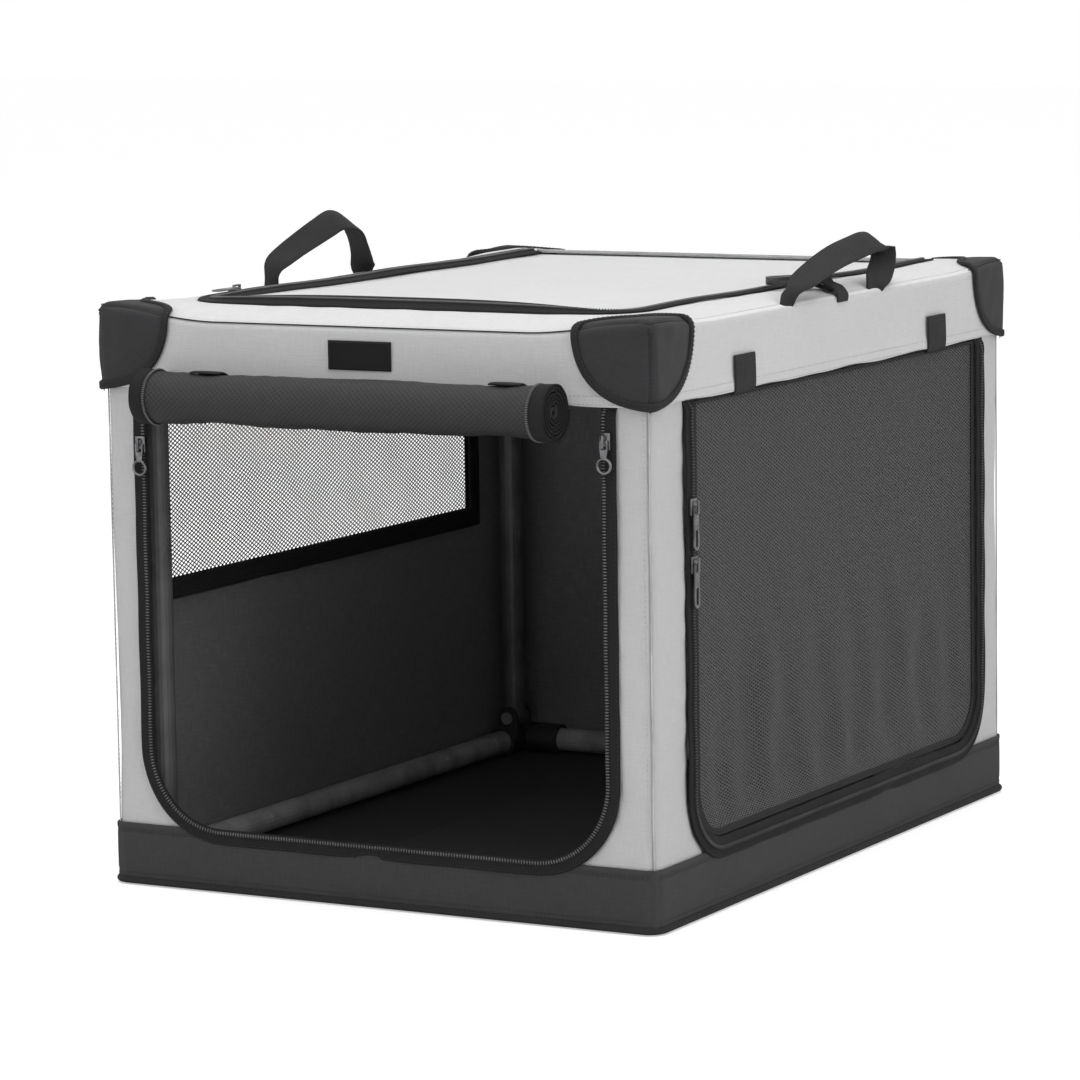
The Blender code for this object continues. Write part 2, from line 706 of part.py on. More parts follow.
def build_pin(corner_name, sign_x, post_y):
    """The rivet through the ears, with a flat head at each side."""
    name = "pivot_pin_" + corner_name
    half = EAR_OFFSET + EAR_WALL / 2 + SEAT_GAP
    reach = half + PIN_HEAD / 2
    ends = [(sign_x * POST_X, post_y + side * reach, POST_HINGE_HEIGHT) for side in (-1, 1)]
    pin = add_object(name, rod_mesh(name, *ends, PIN_RADIUS, TUBE_SIDES), "rivet_steel")
    for side in (-1, 1):
        start = (sign_x * POST_X, post_y + side * half, POST_HINGE_HEIGHT)
        end = (sign_x * POST_X, post_y + side * (half + PIN_HEAD), POST_HINGE_HEIGHT)
        join(pin, rod_mesh("pin_head", start, end, PIN_HEAD_RADIUS, TUBE_SIDES))
    return pin


def build_top_joint(corner_name, sign_x, sign_y, post_y):
    """A roof corner: two collars and a leg, open on its inner side, that the post swings into."""
    name = "top_joint_" + corner_name
    corner = (sign_x * TUBE_X, sign_y * TUBE_Y, ROOF_TUBE_Z)
    ball = ball_mesh(name, corner, COLLAR_RADIUS - SEAT_GAP, COLLAR_SIDES // 2)
    obj = add_object(name, ball, "joint_plastic")
    reach_y = TUBE_Y - abs(post_y) + COLLAR_RADIUS + COLLAR_WALL
    along_x, along_y = add_collars(obj, sign_x, sign_y, ROOF_TUBE_Z, reach_y)
    foot = (sign_x * POST_X, post_y, SOCKET_FOOT)
    join(obj, rod_mesh("leg", foot, (sign_x * POST_X, post_y, ROOF_TUBE_Z), COLLAR_RADIUS, COLLAR_SIDES))
    bore = TUBE_RADIUS + RUN_GAP
    mouth = TUBE_RADIUS + SEAT_GAP
    below = (sign_x * POST_X, post_y, SOCKET_FOOT - CUT_OVERRUN)
    cut(obj, rod_mesh("socket", below, (sign_x * POST_X, post_y, SOCKET_ROOF), bore, COLLAR_SIDES))
    open_x = sign_x * (POST_X - 2 * COLLAR_RADIUS)
    low = (min(open_x, sign_x * POST_X), post_y - mouth, SOCKET_FOOT - 2 * CUT_OVERRUN)
    high = (max(open_x, sign_x * POST_X), post_y + mouth, SOCKET_ROOF - SEAT_GAP)
    cut(obj, box_mesh("socket_mouth", low, high))
    bore_collars(obj, along_x, along_y, sign_x, sign_y)
    return obj


def build_corner_patch(corner_name, sign_x, sign_y):
    """A dark patch that wraps the roof corner: a thin three-sided shell trimmed to a round edge."""
    name = "corner_patch_" + corner_name
    skin_in, skin_out = SEAT_GAP, SEAT_GAP + PATCH_CLOTH
    reach = PATCH_REACH

    def corner_box(label, out, inner):
        x0, x1 = sorted((sign_x * (HALF_WIDTH + out), sign_x * (HALF_WIDTH - inner)))
        y0, y1 = sorted((sign_y * (HALF_DEPTH + out), sign_y * (HALF_DEPTH - inner)))
        return box_mesh(label, (x0, y0, CRATE_HEIGHT - inner), (x1, y1, CRATE_HEIGHT + out))

    patch = add_object(name, corner_box(name, skin_out, reach), "dark_cloth")
    cut(patch, corner_box("patch_hollow", skin_in, reach + CUT_OVERRUN))
    centre = (sign_x * HALF_WIDTH, sign_y * HALF_DEPTH, CRATE_HEIGHT)
    combine(patch, helper(ball_mesh("patch_trim", centre, reach, COLLAR_SIDES)), "INTERSECT")
    return patch


def roll_centre():
    return -HALF_DEPTH - ROLL_STANDOFF - ROLL_RADIUS, HEM - ROLL_DROP


def roll_radius(angle):
    """The radius of the sheet's middle after it has wound through an angle from the core."""
    return ROLL_CORE + ROLL_PITCH * angle / (2 * math.pi)


def build_front_roll():
    """The front door rolled up: one sheet wound in a spiral, whose outer end rises to the hem."""
    points = []
    for i in range(ROLL_TURNS * ROLL_STEPS + 1):
        angle = 2 * math.pi * i / ROLL_STEPS
        radius = roll_radius(angle)
        points.append((radius * math.cos(angle), radius * math.sin(angle)))
    for i in range(ROLL_TAIL_STEPS):
        points.append((ROLL_OUTER, (ROLL_DROP - SEAT_GAP) * (i + 1) / ROLL_TAIL_STEPS))
    least = min(
        math.dist(points[i], points[j])
        for i in range(len(points))
        for j in range(i + ROLL_STEPS // 2, len(points))
    )
    print(f"front roll: least gap between turns {1000 * (least - ROLL_SHEET):.2f} mm")
    roll = ribbon("front_roll", points, ROLL_LENGTH, ROLL_SHEET, "mesh")
    y, z = roll_centre()
    roll.location = (ROLL_CENTRE_X, y, z)
    return roll


def build_roll_strap(name, share):
    """A strap that hugs the roll's top, a little outside the last turn there."""
    points = []
    for i in range(CORNER_STEPS + 1):
        angle = STRAP_START_ANGLE + (STRAP_END_ANGLE - STRAP_START_ANGLE) * i / CORNER_STEPS
        wound = angle + 2 * math.pi * (ROLL_TURNS - 1)
        radius = roll_radius(wound) + (ROLL_SHEET + STRAP_CLOTH) / 2 + SEAT_GAP
        points.append((radius * math.cos(angle), radius * math.sin(angle)))
    strap = ribbon(name, points, STRAP_WIDTH, STRAP_CLOTH, "webbing")
    y, z = roll_centre()
    strap.location = (share * CRATE_WIDTH, y, z)
    return strap


def build_handle(name, sign_x):
    """A webbing loop that stands on the roof's edge."""
    points = []
    for i in range(HANDLE_STEPS + 1):
        angle = math.pi * i / HANDLE_STEPS
        across = -HANDLE_SPAN / 2 * math.cos(angle)
        up = HANDLE_RISE * math.sin(angle) ** HANDLE_CURVE_SHARE
        points.append((across, up))
    handle = ribbon(name, points, HANDLE_WIDTH, HANDLE_CLOTH, "webbing")
    foot = box_mesh(
        "handle_trim",
        (-HALF_WIDTH, -HANDLE_SPAN, -HANDLE_RISE),
        (HALF_WIDTH, HANDLE_SPAN, 0),
    )
    place = Vector((sign_x * (HALF_WIDTH - HANDLE_INSET), 0, CRATE_HEIGHT + SEAT_GAP))
    foot.transform(Matrix.Translation(place))
    handle.location = place
    cut(handle, foot)
    return handle


def build_plate(name, low, high, finish):
    return add_object(name, box_mesh(name, low, high), finish)


def build_skirt_trims():
    """The bare woven label on the front skirt and the two tabs over the side door."""
    front = -HALF_DEPTH - SEAT_GAP
    middle = HEM + SKIRT_HEIGHT / 2 - LABEL_CLOTH
    low = (LABEL_CENTRE_X - LABEL_WIDTH / 2, front - LABEL_CLOTH, middle - LABEL_HEIGHT / 2)
    high = (LABEL_CENTRE_X + LABEL_WIDTH / 2, front, middle + LABEL_HEIGHT / 2)
    build_plate("blank_label", low, high, "dark_cloth")
    side = HALF_WIDTH + SEAT_GAP
    for name, share in zip(("door_tab_front", "door_tab_back"), TAB_PLACE_SHARES):
        y = share * CRATE_DEPTH
        low = (side, y - TAB_WIDTH / 2, HEM + 2 * TAB_CLOTH)
        high = (side + TAB_CLOTH, y + TAB_WIDTH / 2, HEM + 2 * TAB_CLOTH + TAB_HEIGHT)
        build_plate(name, low, high, "webbing")


def clip_frame():
    """The clip's own frame: its pivot, the bar beyond its eye, at the origin, its body along local -Y."""
    x = CLIP_TAB_X - CLIP_TAB_REACH / 2 + CLIP_TAB_SEAM
    z = CRATE_HEIGHT + SEAT_GAP + CLIP_TAB_CLOTH - CLIP_LOOP_WIRE / 2 + CLIP_LOOP_RADIUS
    return Matrix.Translation((x, CLIP_TAB_Y, z)) @ Matrix.Rotation(CLIP_TURN, 4, "Z")


def build_safety_clip():
    """A snap hook with a sprung gate slot and an eye at its end."""
    half = CLIP_WIDTH / 2
    head = -CLIP_EYE_PLACE
    nose = head + 2 * half - CLIP_LENGTH
    outer = arc((0, head), half, 0, math.pi, 2 * CORNER_STEPS)
    outer += arc((0, nose), half, math.pi, 2 * math.pi, 2 * CORNER_STEPS)
    eye = arc((0, head), CLIP_EYE, 0, 2 * math.pi, 2 * CORNER_STEPS)[:-1]
    inner_half = half - CLIP_WALL
    hook_top = head - CLIP_LENGTH * CLIP_HOOK_SHARE + half
    hook = [(inner_half, hook_top), (-inner_half, hook_top)]
    hook += arc((0, nose), inner_half, math.pi, 2 * math.pi, 2 * CORNER_STEPS)
    curve = outline_curve("safety_clip", [outer, eye, hook], CLIP_THICK)
    clip = add_object("safety_clip", curve, "clip_plastic")
    clip.matrix_world = clip_frame()
    return clip


def wire_ring(name, radius, wire, place):
    """A round wire ring in the XY plane of its place."""
    bpy.ops.mesh.primitive_torus_add(
        major_radius=radius,
        minor_radius=wire,
        major_segments=TUBE_SIDES,
        minor_segments=WIRE_SIDES,
    )
    ring = bpy.context.active_object
    ring.name = name
    ring.data.transform(place)
    return guide(ring)


def build_clip_tab():
    """The webbing tab on the roof's edge, with the wire ring that runs through the clip's eye."""
    base = CRATE_HEIGHT + SEAT_GAP
    low = (CLIP_TAB_X - CLIP_TAB_REACH / 2, CLIP_TAB_Y - CLIP_TAB_WIDTH / 2, base)
    high = (CLIP_TAB_X + CLIP_TAB_REACH, CLIP_TAB_Y + CLIP_TAB_WIDTH / 2, base + CLIP_TAB_CLOTH)
    tab = build_plate("clip_tab", low, high, "webbing")
    upright = clip_frame() @ Matrix.Rotation(math.pi / 2, 4, "Y")
    return combine(tab, wire_ring("clip_ring", CLIP_LOOP_RADIUS, CLIP_LOOP_WIRE, upright), "UNION")


def face_frame(face, across, up):
    """The frame of a zip slider: local X across the tape, local Y along it, local Z outwards."""
    if face == "front":
        turn = Matrix.Rotation(math.pi / 2, 4, "X")
        return Matrix.Translation((across, -HALF_DEPTH - SEAT_GAP, up)) @ turn
    if face == "side":
        turn = Matrix.Rotation(math.pi / 2, 4, "Z") @ Matrix.Rotation(math.pi / 2, 4, "X")
        return Matrix.Translation((HALF_WIDTH + SEAT_GAP, across, up)) @ turn
    return Matrix.Translation((across, up, CRATE_HEIGHT + SEAT_GAP))


def build_slider(name, frame):
    """A zip slider: a plate with a bail that the pull's bar passes under."""
    half_w, half_l = SLIDER_WIDTH / 2, SLIDER_LENGTH / 2
    body = box_mesh(name, (-half_w, -half_l, 0), (half_w, half_l, SLIDER_THICK))
    body.transform(frame)
    slider = add_object(name, body, "gunmetal")
    top = SLIDER_THICK + BAIL_RISE
    bail_low = (-BAIL_WIDTH / 2, -BAIL_LENGTH / 2, SLIDER_THICK / 2)
    bail = box_mesh("bail", bail_low, (BAIL_WIDTH / 2, BAIL_LENGTH / 2, top))
    bail.transform(frame)
    join(slider, bail)
    gap_half = BAIL_LENGTH / 2 - BAIL_WALL
    gap = box_mesh(
        "bail_gap",
        (-BAIL_WIDTH, -gap_half, SLIDER_THICK),
        (BAIL_WIDTH, gap_half, top - BAIL_WALL),
    )
    gap.transform(frame)
    cut(slider, gap)
    return slider


def pull_frame(frame):
    """The pull's bar lies in the middle of the bail's gap."""
    height = SLIDER_THICK + (BAIL_RISE - BAIL_WALL) / 2
    return frame @ Matrix.Translation((0, 0, height))


def build_tongue_pull(name, frame):
    """A long pull with an eye round the bail and a slot near its tip."""
    bar = PULL_BAR / 2
    neck, half = PULL_NECK / 2, PULL_WIDTH / 2
    tip = -PULL_LENGTH + half
    outer = [(neck, bar), (-neck, bar), (-neck, -PULL_EYE_LENGTH)]
    outer += arc((0, tip), half, math.pi, 2 * math.pi, 2 * CORNER_STEPS)
    outer.append((neck, -PULL_EYE_LENGTH))
    eye_half = PULL_EYE_WIDTH / 2
    eye_end = -bar - PULL_EYE_LENGTH + PULL_BAR
    eye = [(-eye_half, -bar), (eye_half, -bar), (eye_half, eye_end), (-eye_half, eye_end)]
    slot_half = PULL_SLOT_WIDTH / 2
    slot = arc((0, tip), slot_half, math.pi, 2 * math.pi, CORNER_STEPS)
    slot += arc((0, tip + PULL_SLOT_LENGTH), slot_half, 0, math.pi, CORNER_STEPS)
    curve = outline_curve(name, [outer, eye, slot], PULL_THICK)
    pull = add_object(name, curve, "gunmetal")
    pull.matrix_world = pull_frame(frame)
    return pull


def build_ring_pull(name, frame):
    """A short link with a round ring at its end."""
    bar = PULL_BAR / 2
    neck = PULL_NECK / 2
    eye_half = PULL_EYE_WIDTH / 2
    eye_end = -bar - PULL_EYE_LENGTH + PULL_BAR
    outer = [(neck, bar), (-neck, bar), (-neck, eye_end), (-eye_half, -RING_PULL_LENGTH)]
    outer += [(eye_half, -RING_PULL_LENGTH), (neck, eye_end)]
    eye = [(-eye_half, -bar), (eye_half, -bar), (eye_half, eye_end), (-eye_half, eye_end)]
    link = meshed(plain(outline_curve(name, [outer, eye], PULL_THICK)))
    placed = pull_frame(frame)
    link.data.transform(placed)
    material_for(link, "gunmetal")
    ring_place = placed @ Matrix.Translation((0, -RING_PULL_LENGTH - RING_RADIUS + RING_WIRE, 0))
    return combine(link, wire_ring(name + "_ring", RING_RADIUS, RING_WIRE, ring_place), "UNION")


def build_zip_hardware():
    """Five sliders with their pulls, each on the middle of its tape."""
    tape = ZIP_TAPE / 2
    front_x = FRONT_DOOR_WIDTH / 2 + tape
    side_y = SIDE_DOOR_CENTRE_Y - SIDE_DOOR_WIDTH / 2 + tape
    roof_x = -ROOF_DOOR_WIDTH / 2 - tape
    rings = (
        ("front_left", face_frame("front", -front_x, HEM - FRONT_SLIDER_DROP_LEFT)),
        ("front_right", face_frame("front", front_x, HEM - FRONT_SLIDER_DROP_RIGHT)),
    )
    tongues = (
        ("side_upper", face_frame("side", side_y, HEM - SIDE_SLIDER_DROP_UPPER)),
        ("side_lower", face_frame("side", side_y, HEM - SIDE_SLIDER_DROP_LOWER)),
        ("roof", face_frame("roof", roof_x, ROOF_SLIDER_SHARE * ROOF_DOOR_LENGTH)),
    )
    for label, frame in rings:
        build_slider("zip_slider_" + label, frame)
        build_ring_pull("zip_pull_" + label, frame)
    for label, frame in tongues:
        build_slider("zip_slider_" + label, frame)
        build_tongue_pull("zip_pull_" + label, frame)


def build_corners():
    for corner_name, sign_x, sign_y, post_y in corner_places():
        build_base_bracket(corner_name, sign_x, sign_y, post_y)
        build_post(corner_name, sign_x, post_y)
        build_pin(corner_name, sign_x, post_y)
        build_top_joint(corner_name, sign_x, sign_y, post_y)
        build_corner_patch(corner_name, sign_x, sign_y)


def build_crate():
    build_base_tray()
    build_ring("base_tube", BASE_TUBE_Z)
    build_ring("roof_tube", ROOF_TUBE_Z)
    build_corners()
    build_front_panel()
    build_back_panel()
    build_left_panel()
    build_window_mesh()
    build_right_panel()
    build_front_zip()
    build_side_zip()
    build_side_door()
    build_top_cover()
    build_top_zip()
    build_top_door()
    build_front_roll()
    for name, share in zip(("roll_strap_left", "roll_strap_right"), STRAP_PLACE_SHARES):
        build_roll_strap(name, share)
    build_handle("handle_left", -1)
    build_handle("handle_right", 1)
    build_skirt_trims()
    build_clip_tab()
    build_safety_clip()
    build_zip_hardware()


build_crate()
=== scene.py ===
"""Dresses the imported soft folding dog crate: its cloth, nets, zips, webbing, stitches and hardware.

Metres, +Z up, origin at the bottom centre. The rolled-up door faces -Y, the mesh door +X.
"""

import logging
import math
from collections.abc import Callable, Iterator, Sequence
from contextlib import contextmanager
from dataclasses import dataclass
from enum import Enum

import bmesh
import bpy
import numpy as np
from mathutils import Matrix, Vector

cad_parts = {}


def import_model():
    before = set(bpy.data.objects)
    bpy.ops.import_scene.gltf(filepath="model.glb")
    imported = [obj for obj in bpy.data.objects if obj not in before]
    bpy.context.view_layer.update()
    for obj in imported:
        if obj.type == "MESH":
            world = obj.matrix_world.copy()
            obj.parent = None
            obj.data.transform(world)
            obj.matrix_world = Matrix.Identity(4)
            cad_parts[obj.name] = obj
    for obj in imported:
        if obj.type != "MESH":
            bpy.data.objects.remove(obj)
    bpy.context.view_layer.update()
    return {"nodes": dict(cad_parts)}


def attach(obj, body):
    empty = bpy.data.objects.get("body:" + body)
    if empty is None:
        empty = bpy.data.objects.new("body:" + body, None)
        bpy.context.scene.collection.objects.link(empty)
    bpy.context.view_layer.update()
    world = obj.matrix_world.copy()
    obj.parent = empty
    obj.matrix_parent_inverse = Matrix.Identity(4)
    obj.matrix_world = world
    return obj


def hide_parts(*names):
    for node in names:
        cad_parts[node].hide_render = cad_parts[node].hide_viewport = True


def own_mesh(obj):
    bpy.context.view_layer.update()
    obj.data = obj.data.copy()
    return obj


LOG = logging.getLogger("dog_crate")

HALF_X = 0.2285
HALF_Y = 0.305
HEIGHT = 0.432
HEM = 0.372
BAND = 0.046
WALL_FOOT = 0.0033
CORNER = 0.012
TAPE = 0.014
NET_CLOTH = 0.0005
UP = np.array([0, 0, 1.0])
LEVEL = np.array([1.0, 1.0, 0])

Colour = tuple[float, float, float]
Number = "Value | float"


class Value:
    """A shader socket that takes part in plain arithmetic."""

    def __init__(self, graph: "Graph", socket: bpy.types.NodeSocket) -> None:
        """Keeps the graph and the socket."""
        self.graph = graph
        self.socket = socket

    def __add__(self, other: Number) -> "Value":
        """The sum."""
        return self.graph.math("ADD", self, other)

    def __sub__(self, other: Number) -> "Value":
        """The difference."""
        return self.graph.math("SUBTRACT", self, other)

    def __rsub__(self, other: Number) -> "Value":
        """The difference, the other way round."""
        return self.graph.math("SUBTRACT", other, self)

    def __mul__(self, other: Number) -> "Value":
        """The product."""
        return self.graph.math("MULTIPLY", self, other)

    __radd__ = __add__
    __rmul__ = __mul__

    def sine(self) -> "Value":
        """The sine."""
        return self.graph.math("SINE", self)

    def size(self) -> "Value":
        """The value without its sign."""
        return self.graph.math("ABSOLUTE", self)

    def wrapped(self) -> "Value":
        """The part after the point."""
        return self.graph.math("FRACT", self)

    def larger(self, other: Number) -> "Value":
        """The larger of two values."""
        return self.graph.math("MAXIMUM", self, other)

    def step(self, low: float, high: float) -> "Value":
        """A soft step.

        Args:
            low: Where it is still 0.
            high: Where it has become 1.

        Returns:
            The stepped value, from 0 to 1.
        """
        sockets = {"Value": self, "From Min": low, "From Max": high}
        node = self.graph.node("ShaderNodeMapRange", {"interpolation_type": "SMOOTHSTEP"}, sockets)
        return Value(self.graph, node.outputs["Result"])


class Graph:
    """The node tree of one material or of the world."""

    def __init__(self, name: str, owners: object = None, shader: str = "Principled BSDF") -> None:
        """Starts a material or a world.

        Args:
            name: Its name.
            owners: The collection that it goes into, or None for the materials.
            shader: The shader that it starts with.
        """
        self.owner = (bpy.data.materials if owners is None else owners).new(name)
        self.owner.use_nodes = True
        self.tree = self.owner.node_tree
        self.shader = self.tree.nodes[shader]

    def feed(self, socket: bpy.types.NodeSocket, value: object) -> None:
        """Links or sets one socket.

        Args:
            socket: The input.
            value: A Value, another socket, a number, or a tuple.
        """
        if isinstance(value, Value):
            value = value.socket
        if isinstance(value, bpy.types.NodeSocket):
            self.tree.links.new(value, socket)
        elif isinstance(value, tuple) and socket.type == "RGBA":
            socket.default_value = (*value, 1.0)
        else:
            socket.default_value = value

    def node(self, kind: str, settings: dict | None = None, sockets: dict | None = None) -> bpy.types.Node:
        """Adds one node.

        Args:
            kind: Its type.
            settings: Its settings by name, which are set first.
            sockets: Values or links by the input's name or number.

        Returns:
            The node.
        """
        node = self.tree.nodes.new(kind)
        for name, setting in (settings or {}).items():
            setattr(node, name, setting)
        for key, value in (sockets or {}).items():
            self.feed(node.inputs[key], value)
        return node

    def math(self, operation: str, *values: Number) -> Value:
        """Adds a Math node.

        Args:
            operation: What it does.
            values: Its inputs in order.

        Returns:
            Its result.
        """
        node = self.node("ShaderNodeMath", {"operation": operation}, dict(enumerate(values)))
        return Value(self, node.outputs[0])

    def across(self, own_map: bool = True) -> tuple[Value, Value, Value]:
        """The coordinates that a pattern reads.

        Args:
            own_map: Whether to read the piece's own cloth map, in metres, or Object coordinates.

        Returns:
            Its two or three parts.
        """
        if own_map:
            place = self.node("ShaderNodeUVMap", {"uv_map": "cloth"}).outputs["UV"]
        else:
            place = self.node("ShaderNodeTexCoord").outputs["Object"]
        parts = self.node("ShaderNodeSeparateXYZ", {}, {"Vector": place}).outputs
        return tuple(Value(self, part) for part in parts)

    def noise(self, *parts: Number, detail: float = 2.0) -> Value:
        """Smooth noise about 0.5.

        Args:
            parts: The two or three coordinates, already scaled.
            detail: The number of finer layers.

        Returns:
            The noise.
        """
        place = self.node("ShaderNodeCombineXYZ", {}, dict(enumerate(parts)))
        settings = {"Vector": place.outputs[0], "Scale": 1.0, "Detail": detail}
        return Value(self, self.node("ShaderNodeTexNoise", {}, settings).outputs[0])

    def blend(self, share: Number, first: Colour, second: Colour) -> bpy.types.NodeSocket:
        """Mixes two colours, by the Mix node's colour sockets, which share their names with others.

        Args:
            share: How much of the second.
            first: A colour or a colour link.
            second: A colour or a colour link.

        Returns:
            The mixed colour.
        """
        colour_a, colour_b, colour_result = 6, 7, 2
        sockets = {"Factor": share, colour_a: first, colour_b: second}
        return self.node("ShaderNodeMix", {"data_type": "RGBA"}, sockets).outputs[colour_result]

    def finish(
        self, colour: object, roughness: Number, height: Value | None = None, depth: float = 0.0, **fixed: float
    ) -> bpy.types.Material:
        """Wires the shader.

        Args:
            colour: The base colour or its link.
            roughness: The roughness.
            height: What the bump follows, or None.
            depth: The bump's height in metres.
            fixed: Other inputs, by name with underscores, set as plain numbers.

        Returns:
            The material.
        """
        self.feed(self.shader.inputs["Base Color"], colour)
        self.feed(self.shader.inputs["Roughness"], roughness)
        for name, number in fixed.items():
            self.feed(self.shader.inputs[name.replace("_", " ")], number)
        if height is not None:
            relief = self.node("ShaderNodeBump", {}, {"Distance": depth, "Height": height})
            self.feed(self.shader.inputs["Normal"], relief.outputs[0])
        return self.owner


def grey(level: float, blue: float) -> Colour:
    """A grey with a share of blue of its own."""
    return level, level, blue


def toned(colour: Colour, share: float) -> Colour:
    """A lighter or darker tone of a colour."""
    return tuple(min(1.0, part * share) for part in colour)


@dataclass(frozen=True)
class Canvas:
    """A plain weave of uneven threads."""

    name: str
    colour: Colour
    thread: float = 0.0009
    unevenness: float = 0.05
    mottling: float = 0.04
    roughness: float = 0.92
    sheen: float = 0.05
    relief: float = 0.00035

    def material(self) -> bpy.types.Material:
        """The cloth: slubs both ways, soft mottling, and crossing threads in relief."""
        graph = Graph(self.name)
        along, across, _ = graph.across()
        turns = math.tau / self.thread
        slubs = graph.noise(along * 900, across * 75) + graph.noise(along * 75, across * 900)
        clouds = graph.noise(along * 11, across * 11)
        fibre = graph.noise(along * 2600, across * 2600)
        weave = (along * turns).sine() * (across * turns).sine()
        tone = 0.5 + (slubs - 1) * 1.6 + weave * 0.12 + (clouds - 0.5) * self.mottling * 8
        dark = toned(self.colour, 1 - self.unevenness)
        light = toned(self.colour, 1 + self.unevenness)
        colour = graph.blend(tone.step(-0.25, 1.25), dark, light)
        height = slubs * 0.6 + weave * 0.35 + fibre * 0.25
        rough = self.roughness + (fibre - 0.5) * 0.12
        return graph.finish(colour, rough, height, self.relief, Sheen_Weight=self.sheen)


@dataclass(frozen=True)
class Twill:
    """Webbing or zip tape: ribs along it, crossed by a fine herringbone."""

    name: str
    colour: Colour
    rib: float = 0.0022
    pitch: float = 0.0013
    contrast: float = 0.35
    roughness: float = 0.78
    relief: float = 0.0003
    gloss: float = 0.2

    def material(self) -> bpy.types.Material:
        """The band, with its map running across and along it."""
        graph = Graph(self.name)
        across, along, _ = graph.across()
        zigzag = ((across * (1 / self.rib)).wrapped() - 0.5).size() * self.rib
        herring = ((along + zigzag * 1.4) * (math.tau / self.pitch)).sine()
        ribs = (across * (math.tau / self.rib)).sine()
        fibre = graph.noise(across * 1900, along * 500)
        wear = graph.noise(across * 60, along * 22)
        tone = 0.5 + herring * 0.22 + ribs * 0.10 + (fibre - 0.5) * 0.8 + (wear - 0.5) * 0.6
        dark = toned(self.colour, 1 - self.contrast)
        light = toned(self.colour, 1 + self.contrast * 1.8)
        colour = graph.blend(tone.step(0.0, 1.0), dark, light)
        height = herring * 0.5 + ribs * 0.3 + fibre * 0.4
        rough = self.roughness + (fibre - 0.5) * 0.15
        return graph.finish(colour, rough, height, self.relief, Specular_IOR_Level=self.gloss)


@dataclass(frozen=True)
class Net:
    """A knitted net of crossing slanted threads; its holes are open, or they hold a dark colour painted as the shade
    behind them.
    """

    name: str
    thread: Colour
    painted_hole_shade: Colour
    cell: float = 0.0046
    rise: float = 0.0027
    width: float = 0.27
    see_through: bool = True
    shade_veil: float = 0.0
    relief: float = 0.0003

    def material(self) -> bpy.types.Material:
        """The net: two slanted sets of threads, thicker where they cross."""
        graph = Graph(self.name)
        along, across, _ = graph.across()
        drift = graph.noise(along * 14, across * 14) * 0.35
        level, rise = along * (1 / self.cell), across * (1 / self.rise)
        first = ((level + rise + drift).wrapped() - 0.5).size()
        second = ((level - rise + drift).wrapped() - 0.5).size()
        near = first.larger(second) + (first * second) * 0.35
        mask = near.step(0.5 - self.width * 0.75, 0.5 - self.width * 0.35)
        # The yarn is painted lighter and darker in patches, as the highlight and shade of small folds.
        folds = graph.noise(along * 260, across * 260)
        fibre = graph.noise(along * 2400, across * 2400)
        yarn = graph.blend(folds.step(0.3, 0.7), toned(self.thread, 0.85), toned(self.thread, 1.2))
        shine = 0.62 + (fibre - 0.5) * 0.3
        if self.see_through:
            # The side net's holes stay partly covered by the dark hole colour, which is painted as the shade of the
            # crate's inside seen through them.
            graph.feed(graph.shader.inputs["Alpha"], mask + self.shade_veil * (1 - mask) if self.shade_veil else mask)
        # Where the net is not see-through, its holes are filled with the dark hole colour as painted shade.
        return graph.finish(graph.blend(mask, self.painted_hole_shade, yarn), shine, mask + fibre * 0.4, self.relief)


@dataclass(frozen=True)
class Metal:
    """Cast or drawn metal with a little wear."""

    name: str
    colour: Colour
    roughness: float
    speckle: float = 1400.0
    relief: float = 0.00008

    def material(self) -> bpy.types.Material:
        """The metal: cloudy tone, fine pits and drawn scratches."""
        graph = Graph(self.name)
        x, y, z = graph.across(own_map=False)
        clouds = graph.noise(x * 120, y * 120, z * 120, detail=3.0)
        pits = graph.noise(x * self.speckle, y * self.speckle, z * self.speckle)
        drawn = graph.noise(x * 2500, y * 2500, z * 160)
        tone = (clouds + (pits - 0.5) * 0.4).step(0.3, 0.7)
        colour = graph.blend(tone, toned(self.colour, 0.7), toned(self.colour, 1.25))
        rough = self.roughness + (drawn - 0.5) * 0.25 + (clouds - 0.5) * 0.15
        return graph.finish(colour, rough, pits + drawn * 0.4, self.relief, Metallic=1.0)


@dataclass(frozen=True)
class Coated:
    """A hard surface with a fine grain: powder coat, moulded plastic or nylon."""

    name: str
    colour: Colour
    roughness: float
    grain: float = 900.0
    relief: float = 0.0001

    def material(self) -> bpy.types.Material:
        """The surface: grain in relief, scuffs that are paler and rougher."""
        graph = Graph(self.name)
        x, y, z = graph.across(own_map=False)
        grain = graph.noise(x * self.grain, y * self.grain, z * self.grain)
        clouds = graph.noise(x * 35, y * 35, z * 35, detail=4.0)
        scuffs = graph.noise(x * 210, y * 210, z * 60, detail=5.0).step(0.6, 0.72)
        tone = graph.blend(clouds.step(0.3, 0.7), toned(self.colour, 0.8), toned(self.colour, 1.2))
        colour = graph.blend(scuffs * 0.35, tone, toned(self.colour, 2.2))
        rough = self.roughness + (grain - 0.5) * 0.2 + scuffs * 0.12
        return graph.finish(colour, rough, grain, self.relief)


